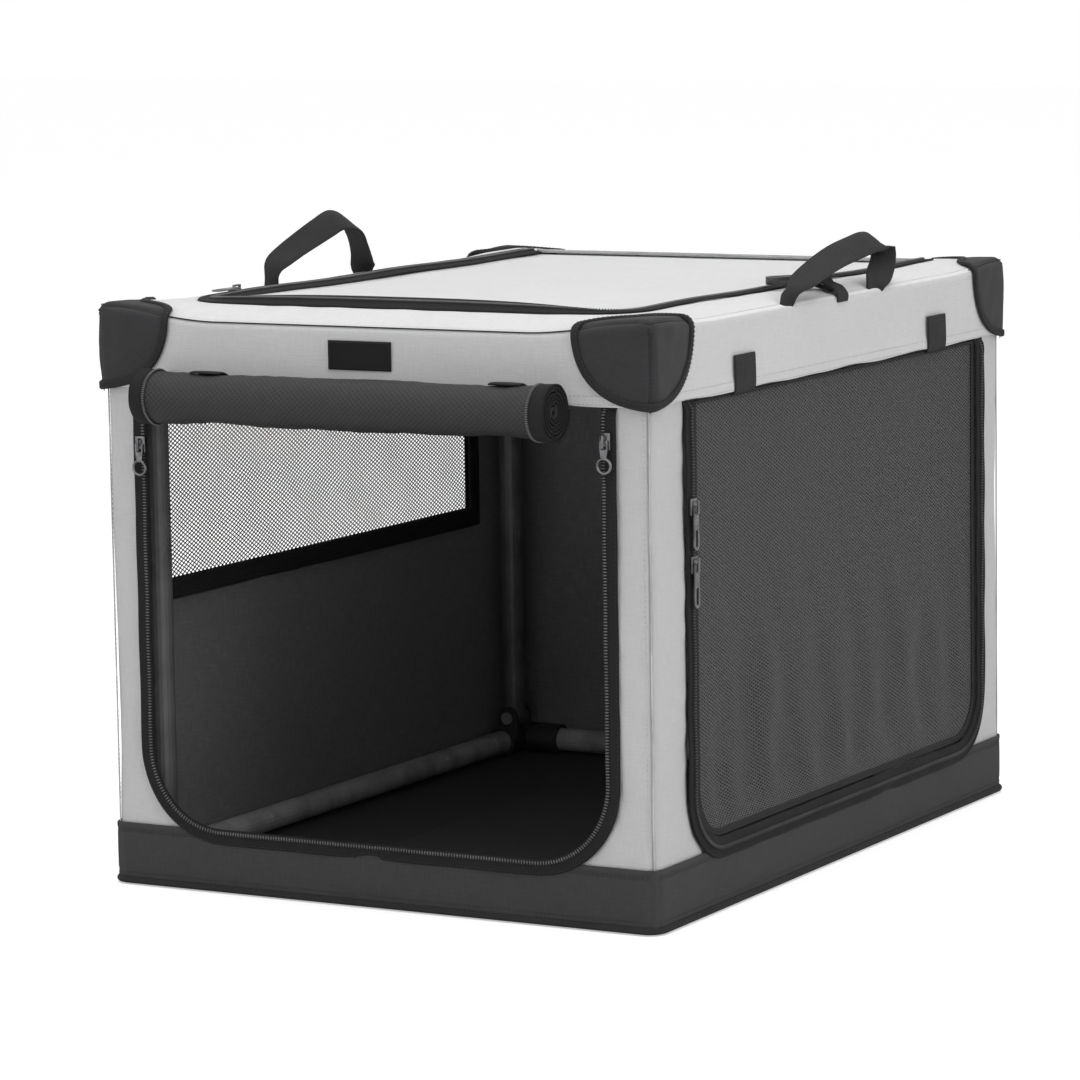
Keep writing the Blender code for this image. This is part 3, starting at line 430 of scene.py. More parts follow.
class Finish(Enum):
    """Every finish on the crate."""

    WALL = Canvas("light_canvas", grey(0.52, 0.525))
    # The roof and skirt tones are one cloth in two copies: the lighter one, on faces that look up, is painted light;
    # the darker one, on the upright skirt, is painted shade.
    ROOF = Canvas("roof_canvas_painted_light", grey(0.71, 0.715))
    SKIRT = Canvas("skirt_canvas_painted_shade", grey(0.585, 0.59))
    DARK = Canvas("dark_canvas", grey(0.033, 0.034), unevenness=0.16, thread=0.0011, sheen=0.0)
    PATCH = Canvas("patch_canvas", grey(0.021, 0.023), unevenness=0.2, thread=0.0010, sheen=0.04)
    LINING = Canvas("lining_canvas", grey(0.185, 0.190), unevenness=0.2, sheen=0.0)
    WEBBING = Twill("black_webbing", grey(0.024, 0.025))
    BINDING = Twill("binding_tape", grey(0.020, 0.021), rib=0.0030, pitch=0.0016)
    ZIP_TAPE = Twill("woven_zip_tape", grey(0.013, 0.0135), rib=0.0016, pitch=0.0010)
    # The side net's veiled holes and the rolled net's filled holes show a near-black painted shade.
    NET = Net("side_net", grey(0.054, 0.056), grey(0.006, 0.006), cell=0.0052, width=0.25, shade_veil=0.62)
    WINDOW_NET = Net("window_net", grey(0.020, 0.021), grey(0.01, 0.01), cell=0.0056, rise=0.0033, width=0.17)
    ROLLED_NET = Net(
        "rolled_net", grey(0.018, 0.019), grey(0.001, 0.001), cell=0.0044, rise=0.0038, width=0.21,
        see_through=False, relief=0.0004,
    )
    LABEL = Twill("label_satin", grey(0.012, 0.013), rib=0.0008, pitch=0.0006, contrast=0.15, roughness=0.5)
    COIL = Coated("zip_coil", grey(0.090, 0.094), 0.38, relief=0.00004)
    THREAD = Coated("black_thread", grey(0.010, 0.011), 0.6, grain=2600.0, relief=0.00006)
    PALE_THREAD = Coated("grey_thread", grey(0.40, 0.405), 0.7, grain=2600.0, relief=0.00006)
    TUBE = Coated("powder_coated_tube", grey(0.32, 0.325), 0.42, grain=1500.0)
    POST = Coated("post_tube", grey(0.090, 0.093), 0.42, grain=1500.0)
    PLASTIC = Coated("moulded_plastic", grey(0.024, 0.026), 0.5)
    CLIP = Coated("moulded_clip", grey(0.028, 0.030), 0.36)
    GUNMETAL = Metal("gunmetal_plating", grey(0.15, 0.155), 0.34)
    STEEL = Metal("rivet_steel", grey(0.52, 0.53), 0.36)

    def get(self) -> bpy.types.Material:
        """The one material of this finish, made when it is first asked for."""
        return bpy.data.materials.get(self.value.name) or self.value.material()


def waves(a: np.ndarray, b: np.ndarray, length: float, seed: int) -> np.ndarray:
    """Smooth unevenness of about one: the sum of a few crossing waves.

    Args:
        a: One coordinate.
        b: The other coordinate.
        length: The mean wavelength.
        seed: Fixes the waves' directions.

    Returns:
        The height at each point.
    """
    count, dice = 9, np.random.default_rng(seed)
    total = np.zeros(np.broadcast(a, b).shape)
    for turn, phase, share in dice.uniform((0, 0, 0.6), (math.tau, math.tau, 1.7), (count, 3)):
        rate = math.tau * share / length
        total += np.sin(rate * (a * math.cos(turn) + b * math.sin(turn)) + phase)
    return total / math.sqrt(count)


def soft_step(value: np.ndarray | float, low: float, high: float) -> np.ndarray | float:
    """A soft step, from 0 at low to 1 at high."""
    share = np.clip((value - low) / (high - low), 0, 1)
    return share * share * (3 - 2 * share)


def bump(value: np.ndarray | float, width: float) -> np.ndarray | float:
    """A bell of height one about zero."""
    return np.exp(-((value / width) ** 2))


def unit(vectors: np.ndarray) -> np.ndarray:
    """The same directions with a length of one."""
    return vectors / np.maximum(np.linalg.norm(vectors, axis=-1, keepdims=True), 1e-12)


def stacked(*parts: np.ndarray | float) -> np.ndarray:
    """Coordinates side by side on a new last axis."""
    return np.stack(np.broadcast_arrays(*parts), axis=-1).astype(float)


def looped(points: np.ndarray) -> np.ndarray:
    """The points with the first one again at the end."""
    return np.concatenate([points, points[:1]])


def between(inner: np.ndarray, outer: np.ndarray, share: np.ndarray) -> np.ndarray:
    """Rows of points that lead from one line to another."""
    return inner * (1 - share) + outer * share


def lengths(points: np.ndarray) -> np.ndarray:
    """The distance run at each point of a path."""
    steps = np.linalg.norm(np.diff(points, axis=0), axis=-1)
    return np.concatenate([[0.0], np.cumsum(steps)])


def smooth_path(points: np.ndarray, count: int) -> np.ndarray:
    """A smooth path through a few points.

    Args:
        points: The points.
        count: How many points the path has.

    Returns:
        The path, a chain of cubic runs, with its points evenly spaced.
    """
    ends = np.concatenate([2 * points[:1] - points[1:2], points, 2 * points[-1:] - points[-2:-1]])
    share = np.linspace(0, 1, 24, endpoint=False)[:, None]
    runs = []
    for p, q, r, s in zip(ends, ends[1:], ends[2:], ends[3:]):
        bend = 2 * p - 5 * q + 4 * r - s
        runs.append(q + 0.5 * share * (r - p + share * (bend + share * (3 * q - p - 3 * r + s))))
    dense = np.concatenate([*runs, points[-1:]])
    run = lengths(dense)
    even = np.linspace(0, run[-1], count)
    return np.stack([np.interp(even, run, dense[:, k]) for k in range(dense.shape[1])], axis=-1)


def u_line(left: float, right: float, foot: float, top: float, corner: float, steps: int) -> np.ndarray:
    """A U in a face: down the left, across the foot and up the right, with round corners.

    Args:
        left: The left leg's place.
        right: The right leg's place.
        foot: The foot's height.
        top: Where both legs end.
        corner: The corners' radius.
        steps: Points along each straight run.

    Returns:
        The points, as pairs.
    """
    turn = np.linspace(0, math.pi / 2, steps // 2 + 1)[1:-1]
    run = np.linspace(0, 1, steps)
    parts = [
        stacked(left, top + (foot + corner - top) * run),
        stacked(left + corner * (1 - np.cos(turn)), foot + corner * (1 - np.sin(turn))),
        stacked(left + corner + (right - left - 2 * corner) * run, foot),
        stacked(right - corner * (1 - np.sin(turn)), foot + corner * (1 - np.cos(turn))),
        stacked(right, foot + corner + (top - foot - corner) * run),
    ]
    return np.concatenate(parts)


def rectangle(half: float, low: float, high: float, steps: int) -> np.ndarray:
    """A closed rectangle of pairs, once round.

    Args:
        half: Half of its width.
        low: Its foot.
        high: Its head.
        steps: Points along each side, with both ends.

    Returns:
        The points.
    """
    run = np.linspace(-1, 1, steps)[:-1]
    middle, rise = (low + high) / 2, (high - low) / 2
    sides = (run * half, low), (half, middle + rise * run), (-run * half, high), (-half, middle - rise * run)
    return np.concatenate([stacked(*side) for side in sides])


def placed(name: str, data: bpy.types.ID) -> bpy.types.Object:
    """A new object with this data, in the scene.

    Args:
        name: Its name.
        data: Its mesh, lamp or camera.

    Returns:
        The object.
    """
    obj = bpy.data.objects.new(name, data)
    bpy.context.scene.collection.objects.link(obj)
    return obj


@contextmanager
def edited(mesh: bpy.types.Mesh) -> Iterator[bmesh.types.BMesh]:
    """Opens a mesh for editing and writes it back.

    Args:
        mesh: The mesh.

    Returns:
        What the edits are made on.
    """
    work = bmesh.new()
    work.from_mesh(mesh)
    yield work
    work.to_mesh(mesh)
    work.free()


def make_object(name: str, points: np.ndarray, faces: Sequence, maps: Sequence, finish: Finish) -> bpy.types.Object:
    """Makes a mesh object with a cloth map.

    Args:
        name: The piece's name.
        points: The places of its vertices.
        faces: The corners of each face.
        maps: The cloth map's pair for each corner of each face, in order.
        finish: Its finish.

    Returns:
        The object.
    """
    mesh = bpy.data.meshes.new(name)
    mesh.from_pydata(np.asarray(points).tolist(), [], faces)
    layer = mesh.uv_layers.new(name="cloth")
    layer.data.foreach_set("uv", np.asarray(maps, dtype=float).ravel())
    mesh.polygons.foreach_set("use_smooth", [True] * len(mesh.polygons))
    mesh.materials.append(finish.get())
    return placed(name, mesh)


def tidy_mesh(obj: bpy.types.Object, closed: bool, merge: float = 1e-6) -> bpy.types.Object:
    """Merges doubles and turns the faces outwards.

    Args:
        obj: The object.
        closed: Whether it is a closed solid; an open sheet faces away from the crate's middle.
        merge: How close doubles are.

    Returns:
        The same object.
    """
    with edited(obj.data) as work:
        bmesh.ops.remove_doubles(work, verts=work.verts, dist=merge)
        bmesh.ops.recalc_face_normals(work, faces=work.faces)
        if not closed:
            middle = Vector((0, 0, HEIGHT / 2))
            facing = sum(f.normal.dot(f.calc_center_median() - middle) * f.calc_area() for f in work.faces)
            if facing < 0:
                bmesh.ops.reverse_faces(work, faces=work.faces)
    return obj


def grid(
    name: str, rows: np.ndarray, finish: Finish, ring: bool = False, capped: bool = False, turned: bool = False,
    flat: np.ndarray | None = None,
) -> bpy.types.Object:
    """Makes a surface from rows of points.

    Args:
        name: The piece's name.
        rows: Points by row and column.
        finish: Its finish.
        ring: Whether each row closes on itself.
        capped: Whether the first and the last row are closed by a face.
        turned: Whether the cloth map's two directions change places.
        flat: The cloth map's pair for each point, or None to measure it along the rows.

    Returns:
        The object.
    """
    count, size = rows.shape[:2]
    closed = np.concatenate([rows, rows[:, :1]], axis=1) if ring else rows
    along = np.mean([lengths(row) for row in closed], axis=0)
    down = np.mean([lengths(column) for column in np.swapaxes(rows, 0, 1)], axis=0)
    faces, maps = [], []
    for i in range(count - 1):
        for j in range(closed.shape[1] - 1):
            k = (j + 1) % size
            faces.append((i * size + j, i * size + k, (i + 1) * size + k, (i + 1) * size + j))
            if flat is None:
                pairs = [(along[q], down[p]) for p, q in ((i, j), (i, j + 1), (i + 1, j + 1), (i + 1, j))]
            else:
                q = (j + 1) % flat.shape[1]
                pairs = [tuple(flat[place]) for place in ((i, j), (i, q), (i + 1, q), (i + 1, j))]
            maps += [pair[::-1] for pair in pairs] if turned else pairs
    if capped:
        for i in (0, count - 1):
            faces.append([i * size + j for j in range(size)])
            maps += [(along[j], down[i]) for j in range(size)]
    obj = make_object(name, rows.reshape(-1, 3), faces, maps, finish)
    return tidy_mesh(obj, closed=capped)


def plain(obj: bpy.types.Object) -> bpy.types.Object:
    """Turns an object and its modifiers into one plain mesh.

    Args:
        obj: The object.

    Returns:
        The same object, without modifiers.
    """
    deps = bpy.context.evaluated_depsgraph_get()
    mesh = bpy.data.meshes.new_from_object(obj.evaluated_get(deps), preserve_all_data_layers=True, depsgraph=deps)
    obj.modifiers.clear()
    mesh.name = obj.name
    obj.data = mesh
    return obj


def thick(obj: bpy.types.Object, depth: float, lining: Finish | None = None) -> bpy.types.Object:
    """Gives a sheet its thickness, inwards from its face.

    Args:
        obj: The sheet.
        depth: The cloth's thickness.
        lining: The inner side's finish, or None for the same one.

    Returns:
        The finished object.
    """
    solid = obj.modifiers.new("cloth", "SOLIDIFY")
    solid.thickness = depth
    solid.offset = -1
    if lining:
        obj.data.materials.append(lining.get())
        solid.material_offset = 1
    return plain(obj)


def frames(path: np.ndarray, outs: np.ndarray, closed: bool) -> tuple[np.ndarray, np.ndarray]:
    """The sideways and outward directions along a path.

    Args:
        path: The points.
        outs: Roughly outwards at each point.
        closed: Whether the path closes on itself.

    Returns:
        The unit side vectors and the unit outward vectors.
    """
    if closed:
        runs = np.roll(path, -1, axis=0) - np.roll(path, 1, axis=0)
    else:
        runs = np.gradient(path, axis=0)
    runs = unit(runs)
    sides = unit(np.cross(runs, np.broadcast_to(outs, path.shape)))
    return sides, np.cross(sides, runs)


def swept(
    name: str, path: np.ndarray, outs: np.ndarray, profile: np.ndarray, finish: Finish, closed: bool = False,
    widths: np.ndarray | None = None,
) -> bpy.types.Object:
    """Sweeps a closed profile along a path.

    Args:
        name: The piece's name.
        path: The points.
        outs: Outwards, for all or for each of them.
        profile: The profile's points, sideways and outwards.
        finish: Its finish.
        closed: Whether the path closes on itself.
        widths: A share of the profile's width at each point, or None.

    Returns:
        The object, whose cloth map runs across and along it.
    """
    sides, ups = frames(path, outs, closed)
    share = 1 if widths is None else widths[:, None, None]
    rows = path[:, None] + sides[:, None] * profile[None, :, :1] * share + ups[:, None] * profile[None, :, 1:]
    obj = grid(name, looped(rows) if closed else rows, finish, ring=True, capped=not closed)
    return tidy_mesh(obj, closed=True)


def flat_profile(width: float, depth: float, steps: int = 4, crown: float = 0.0, low: float = 0.0) -> np.ndarray:
    """The profile of a woven band with round edges.

    Args:
        width: Its width.
        depth: Its thickness.
        steps: Points along each round edge.
        crown: How far its middle rises.
        low: How far its underside lies from the path.

    Returns:
        The profile's points.
    """
    turn = np.linspace(-math.pi / 2, math.pi / 2, steps + 1)
    half, edge = width / 2, depth / 2
    right = stacked(half - edge + edge * np.cos(turn), low + edge + edge * np.sin(turn))
    run = np.linspace(0.75, -0.75, 5) * (half - edge)
    rise = crown * (1 - (run / half) ** 2)
    left = right[::-1] * (-1, 1)
    return np.concatenate([right, stacked(run, low + depth + rise), left, stacked(-run, low + rise)])


def round_profile(radius: float, sides: int = 10) -> np.ndarray:
    """The profile of a cord."""
    turn = np.arange(sides) * math.tau / sides
    return radius * stacked(np.cos(turn), np.sin(turn))


class BeadTree:
    """A Geometry Nodes tree that sets a small rounded body at every step of a path."""

    INPUTS = {"Geometry": "Geometry", "Pitch": "Float", "Size": "Vector", "Material": "Material"}
    NODES = {
        "start": ("NodeGroupInput", {}, {}),
        "curve": ("GeometryNodeMeshToCurve", {}, {}),
        "even": ("GeometryNodeResampleCurve", {"mode": "LENGTH"}, {}),
        "tangent": ("GeometryNodeInputTangent", {}, {}),
        "upright": ("GeometryNodeInputNamedAttribute", {"data_type": "FLOAT_VECTOR"}, {"Name": "up"}),
        "turn": ("FunctionNodeAxesToRotation", {"primary_axis": "Z", "secondary_axis": "X"}, {}),
        "bead": ("GeometryNodeMeshIcoSphere", {}, {"Radius": 0.5, "Subdivisions": 1}),
        "spread": ("GeometryNodeInstanceOnPoints", {}, {}),
        "real": ("GeometryNodeRealizeInstances", {}, {}),
        "soft": ("GeometryNodeSetShadeSmooth", {}, {}),
        "paint": ("GeometryNodeSetMaterial", {}, {}),
        "end": ("NodeGroupOutput", {}, {}),
    }
    LINKS = (
        ("start", "Geometry", "curve", "Mesh"),
        ("curve", "Curve", "even", "Curve"),
        ("start", "Pitch", "even", "Length"),
        ("upright", "Attribute", "turn", "Primary Axis"),
        ("tangent", "Tangent", "turn", "Secondary Axis"),
        ("even", "Curve", "spread", "Points"),
        ("bead", "Mesh", "spread", "Instance"),
        ("turn", "Rotation", "spread", "Rotation"),
        ("start", "Size", "spread", "Scale"),
        ("spread", "Instances", "real", "Geometry"),
        ("real", "Geometry", "soft", "Geometry"),
        ("soft", "Geometry", "paint", "Geometry"),
        ("start", "Material", "paint", "Material"),
        ("paint", "Geometry", "end", "Geometry"),
    )
    _tree: bpy.types.NodeTree | None = None

    @classmethod
    def tree(cls) -> bpy.types.NodeTree:
        """The one tree, built when it is first asked for."""
        cls._tree = cls._tree or cls._build()
        return cls._tree

    @classmethod
    def _build(cls) -> bpy.types.NodeTree:
        """Builds the tree.

        Returns:
            A tree with the inputs Pitch, Size and Material.
        """
        tree = bpy.data.node_groups.new("beads_along_a_path", "GeometryNodeTree")
        for name, kind in cls.INPUTS.items():
            tree.interface.new_socket(name, in_out="INPUT", socket_type=f"NodeSocket{kind}")
        tree.interface.new_socket("Geometry", in_out="OUTPUT", socket_type="NodeSocketGeometry")
        nodes = {}
        for name, (kind, settings, values) in cls.NODES.items():
            node = nodes[name] = tree.nodes.new(kind)
            for key, setting in settings.items():
                setattr(node, key, setting)
            for key, value in values.items():
                node.inputs[key].default_value = value
        for source, output, target, entry in cls.LINKS:
            tree.links.new(nodes[source].outputs[output], nodes[target].inputs[entry])
        return tree


@dataclass(frozen=True)
class Bead:
    """A small body that repeats along a path: its step, length, width and height."""

    pitch: float
    size: tuple[float, float, float]


SEAM_STITCH = Bead(0.0036, (0.0026, 0.0006, 0.0004))
BASE_STITCH = Bead(0.0036, (0.0027, 0.0006, 0.0005))
ROOF_STITCH = Bead(0.0034, (0.0025, 0.0006, 0.0004))
PATCH_STITCH = Bead(0.0032, (0.0026, 0.0006, 0.0005))
PATCH_RIDGE = Bead(0.0026, (0.0026, 0.0012, 0.0010))
ZIP_STITCH = Bead(0.0032, (0.0024, 0.0006, 0.0005))
TAB_STITCH = Bead(0.0026, (0.0021, 0.0006, 0.0004))
CLIP_STITCH = Bead(0.0024, (0.0019, 0.0006, 0.0005))
LABEL_STITCH = Bead(0.0022, (0.0017, 0.0004, 0.0004))
ROLLED_TOOTH = Bead(0.0016, (0.0011, 0.0030, 0.0016))


@dataclass(frozen=True)
class Fold:
    """How a soft piece would flatten towards a height as the frame folds."""

    anchor: float = WALL_FOOT
    keep: float = 0.208


ON_BASE = Fold()
ON_RIGHT_WALL = Fold(0.2684)
ON_HEM = Fold(0.3714, 0.19)


def settle(
    obj: bpy.types.Object, body: str, nodes: Sequence[str] = (), fold: Fold | None = None,
    cut: tuple[float, float] | None = None,
) -> bpy.types.Object:
    """Puts a piece on its body and reports it.

    Args:
        obj: The finished piece.
        body: The body that carries it.
        nodes: The nodes that it stands for.
        fold: How it would flatten, or None; with one, the piece only gets its own copy of its mesh.
        cut: For a sheet, its area and its length, laid out flat.

    Returns:
        The same piece.
    """
    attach(obj, body)
    if nodes:
        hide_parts(*nodes)
    if fold:
        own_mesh(obj)
    if cut:
        cut[0] / cut[1]
    LOG.info("%s rides %s, %d faces", obj.name, body, len(obj.data.polygons))
    return obj


def beads(
    name: str, paths: Sequence[tuple[np.ndarray, np.ndarray]], bead: Bead, finish: Finish, body: str,
    fold: Fold | None = None,
) -> bpy.types.Object:
    """Sets small rounded bodies along paths: stitches, or the teeth of a coil.

    Args:
        name: The piece's name.
        paths: Points and outward directions of each path.
        bead: The body that repeats.
        finish: Its finish.
        body: The body that carries the piece.
        fold: How it flattens, or None.

    Returns:
        One plain mesh, put in its place.
    """
    points, ups, edges = [], [], []
    for path, outs in paths:
        start = len(points)
        points += np.asarray(path).tolist()
        ups += np.broadcast_to(outs, np.shape(path)).tolist()
        edges += [(k, k + 1) for k in range(start, len(points) - 1)]
    mesh = bpy.data.meshes.new(name)
    mesh.from_pydata(points, edges, [])
    mesh.attributes.new("up", "FLOAT_VECTOR", "POINT").data.foreach_set("vector", np.ravel(ups))
    obj = placed(name, mesh)
    maker = obj.modifiers.new("beads", "NODES")
    maker.node_group = BeadTree.tree()
    values = {"Pitch": bead.pitch, "Size": bead.size, "Material": finish.get()}
    for item in maker.node_group.interface.items_tree:
        if item.in_out == "INPUT" and item.name in values:
            maker[item.identifier] = values[item.name]
    obj.update_tag()
    return settle(plain(obj), body, fold=fold)


class Face(Enum):
    """An upright face of the crate: the direction along it and the direction out of it."""

    FRONT = (1, 0, 0, -1)
    RIGHT = (0, 1, 1, 0)
    BACK = (-1, 0, 0, 1)
    LEFT = (0, -1, -1, 0)

    @property
    def half(self) -> float:
        """Half of its length."""
        return HALF_X if self.value[0] else HALF_Y

    @property
    def reach(self) -> float:
        """Its distance from the crate's middle."""
        return HALF_Y if self.value[0] else HALF_X

    @property
    def out(self) -> np.ndarray:
        """The direction out of it."""
        return np.array([self.value[2], self.value[3], 0.0])

    def at(self, along: np.ndarray, out: np.ndarray | float, z: np.ndarray | float) -> np.ndarray:
        """Points by their distances along the face and out of the middle."""
        ax, ay, ox, oy = self.value
        return stacked(ax * along + ox * out, ay * along + oy * out, z)

    def place(self, a: np.ndarray | float, z: np.ndarray | float, depth: np.ndarray | float) -> np.ndarray:
        """Points on the face, turned round its upright corners.

        Args:
            a: Distance along the face from its middle.
            z: Height.
            depth: Distance inwards of the skin.

        Returns:
            The points.
        """
        a, z, depth = (np.asarray(part, dtype=float) for part in (a, z, depth))
        flat = self.half - CORNER
        turn = np.clip((np.abs(a) - flat) / CORNER, 0, math.pi / 2)
        along = np.sign(a) * (np.minimum(np.abs(a), flat) + (CORNER - depth) * np.sin(turn))
        return self.at(along, self.reach - CORNER + (CORNER - depth) * np.cos(turn), z)

    def lay(self, pairs: np.ndarray, depth: np.ndarray | float) -> np.ndarray:
        """The same for pairs of a distance along the face and a height."""
        return self.place(pairs[..., 0], pairs[..., 1], depth)

    @property
    def edge(self) -> float:
        """Where it meets its neighbours, halfway round the corner."""
        return self.half - CORNER + CORNER * math.pi / 4


SAG = {Face.FRONT: 0.0085, Face.RIGHT: 0.0042, Face.BACK: 0.0065, Face.LEFT: 0.0042}

Stations = list[tuple[Face, np.ndarray]]
Rule = Callable[[Face, np.ndarray], np.ndarray] | float


def edge_drop(face: Face, a: np.ndarray | float) -> np.ndarray:
    """How far the roof's edge hangs below its corners, at this distance from the face's middle."""
    return SAG[face] * soft_step(face.half - np.abs(a), 0.0, 0.10)


def ring_stations(flat_steps: int) -> Stations:
    """Stations once round the crate, dense at its upright corners.

    Args:
        flat_steps: Stations on each flat run.

    Returns:
        Each face with its distances along it.
    """
    stations = []
    for face in Face:
        flat = face.half - CORNER
        near = np.linspace(flat, face.edge, 10)
        middle = np.linspace(-flat, flat, flat_steps)[1:-1]
        stations.append((face, np.concatenate([-near[::-1], middle, near[:-1]])))
    return stations


def ring_row(depth: Rule, height: Rule, stations: Stations) -> np.ndarray:
    """One closed row of points round the crate.

    Args:
        depth: The distance inwards of the skin: a number, or a rule by face and place.
        height: The height, likewise.
        stations: The places.

    Returns:
        The points.
    """
    rows = []
    for face, a in stations:
        low, inwards = (rule(face, a) if callable(rule) else rule for rule in (height, depth))
        rows.append(face.place(a, low, inwards))
    return np.concatenate(rows)


def ring_outs(stations: Stations) -> np.ndarray:
    """The directions out of the faces at all the stations."""
    return np.concatenate([np.broadcast_to(face.out, (len(a), 3)) for face, a in stations])


@dataclass
class Studio:
    """The pale floor, the soft lamps, the white surround and the camera."""

    azimuth: float = 28.57
    elevation: float = 7.87
    roll: float = -0.84
    lens: float = 157.83
    shift: tuple[float, float] = (-0.0315, 0.0176)
    eye: tuple[float, float, float] = (1.7342, -3.1847, 0.7173)

    def build(self) -> None:
        """Makes all of it."""
        self._camera()
        self._floor()
        self._lamps()
        self._surround()

    def _camera(self) -> None:
        """Stands the camera at the photograph's angle."""
        data = bpy.data.cameras.new("camera")
        data.sensor_width = 36.0
        data.lens = self.lens
        data.shift_x, data.shift_y = self.shift
        data.clip_end = 50.0
        camera = bpy.context.scene.camera = placed("camera", data)
        turns = (("Z", self.azimuth), ("X", 90 - self.elevation), ("Z", self.roll))
        stand = Matrix.Translation(self.eye)
        for axis, angle in turns:
            stand @= Matrix.Rotation(math.radians(angle), 4, axis)
        camera.matrix_world = stand

    def _floor(self) -> None:
        """Lays a wide pale floor that shows white where nothing shades it."""
        graph = Graph("studio_floor")
        x, y, _ = graph.across(own_map=False)
        seen = Value(graph, graph.node("ShaderNodeLightPath").outputs["Is Camera Ray"])
        glow = graph.blend(seen, grey(0.0, 0.0), grey(0.42, 0.42))
        graph.feed(graph.shader.inputs["Emission Color"], glow)
        colour = graph.blend(graph.noise(x * 30, y * 30), grey(0.84, 0.84), grey(0.87, 0.87))
        graph.finish(colour, 0.9, Emission_Strength=1.0)
        run = np.linspace(-14, 14, 9)
        floor = grid("studio_floor", stacked(run[None, :], run[:, None], -0.0006), Finish.WALL)
        floor.data.materials[0] = graph.owner

    def _lamps(self) -> None:
        """Hangs three large soft lamps."""
        lamps = (
            ("lamp_over", (0.3, -0.6, 3.0), (3.2, 3.2), 50.0),
            ("lamp_right", (3.0, -0.8, 1.5), (2.4, 2.4), 27.0),
            ("lamp_front", (-1.3, -3.2, 1.3), (2.6, 2.2), 18.0),
        )
        for name, place, size, power in lamps:
            data = bpy.data.lights.new(name, "AREA")
            data.shape = "RECTANGLE"
            data.size, data.size_y = size
            data.energy = power
            aim = Vector((0, 0, 0.2)) - Vector(place)
            turn = aim.to_track_quat("-Z", "Y").to_matrix().to_4x4()
            placed(name, data).matrix_world = Matrix.Translation(place) @ turn

    def _surround(self) -> None:
        """A white surround for the eye, and a plain grey one as light."""
        graph = Graph("surround", bpy.data.worlds, "Background")
        path = graph.node("ShaderNodeLightPath").outputs
        seen = Value(graph, path["Is Camera Ray"]).larger(Value(graph, path["Is Glossy Ray"]))
        level = graph.node("ShaderNodeMapRange", {}, {"To Min": 0.62, "To Max": 1.0, "Value": seen})
        graph.feed(graph.shader.inputs["Color"], grey(1.0, 1.0))
        graph.feed(graph.shader.inputs["Strength"], level.outputs["Result"])
        bpy.context.scene.world = graph.owner
        bpy.context.scene.view_settings.view_transform = "Standard"


@dataclass(frozen=True)
class Doorway:
    """A U-shaped doorway in a face, measured at the zip's inner edge."""

    face: Face
    name: str
    half: float
    centre: float
    foot: float
    corner: float

    def line(self, grow: float, steps: int, top: float) -> np.ndarray:
        """The doorway's U, made larger by grow.

        Args:
            grow: How much larger, all round.
            steps: Points along each straight run.
            top: Where its legs end.

        Returns:
            Pairs of a distance along the face and a height.
        """
        left, right = self.centre - self.half - grow, self.centre + self.half + grow
        return u_line(left, right, self.foot - grow, top, self.corner + grow, steps)


FRONT_DOORWAY = Doorway(Face.FRONT, "front", 0.186, 0.0, 0.050, 0.055)
SIDE_DOORWAY = Doorway(Face.RIGHT, "side", 0.246, 0.006, 0.052, 0.040)


@dataclass
class Window:
    """The net window high in the left wall, bound all round on both sides."""

    half: float = 0.240
    sill: float = 0.206
    head: float = 0.362
    border: float = 0.012
    depth: float = 0.0032

    @property
    def area(self) -> float:
        """Its area."""
        return 2 * self.half * (self.head - self.sill)

    def outline(self, grow: float, steps: int) -> np.ndarray:
        """Its outline, made larger by grow."""
        return rectangle(self.half + grow, self.sill - grow, self.head + grow, steps)

    def build(self) -> None:
        """Makes the net and its binding."""
        flat = stacked(*np.meshgrid(np.linspace(-self.half, self.half, 90), np.linspace(self.sill, self.head, 34)))
        slack = self.depth + 0.0006 * waves(flat[..., 0], flat[..., 1], 0.07, 91)
        net = thick(grid("window_net", Face.LEFT.lay(flat, slack), Finish.WINDOW_NET), NET_CLOTH)
        edges = np.array([self.outline(grow, 31) for grow in (0.003, 0.0025, -0.001, -0.005, -0.011, -self.border)])
        inside = np.array([0, 1, 1, 1, 1, 0])[:, None]
        for name, depth, proud in (("outer", 0.0014, -0.0006), ("inner", 0.0052, 0.0006)):
            rows = Face.LEFT.lay(edges, depth + proud * inside)
            binding = thick(grid(f"window_binding_{name}", rows, Finish.BINDING, ring=True, turned=True), 0.001)
            settle(binding, "base", fold=ON_BASE)
        settle(net, "base", ["window_mesh"], ON_BASE, (self.area, 2 * self.half))


WINDOW = Window()


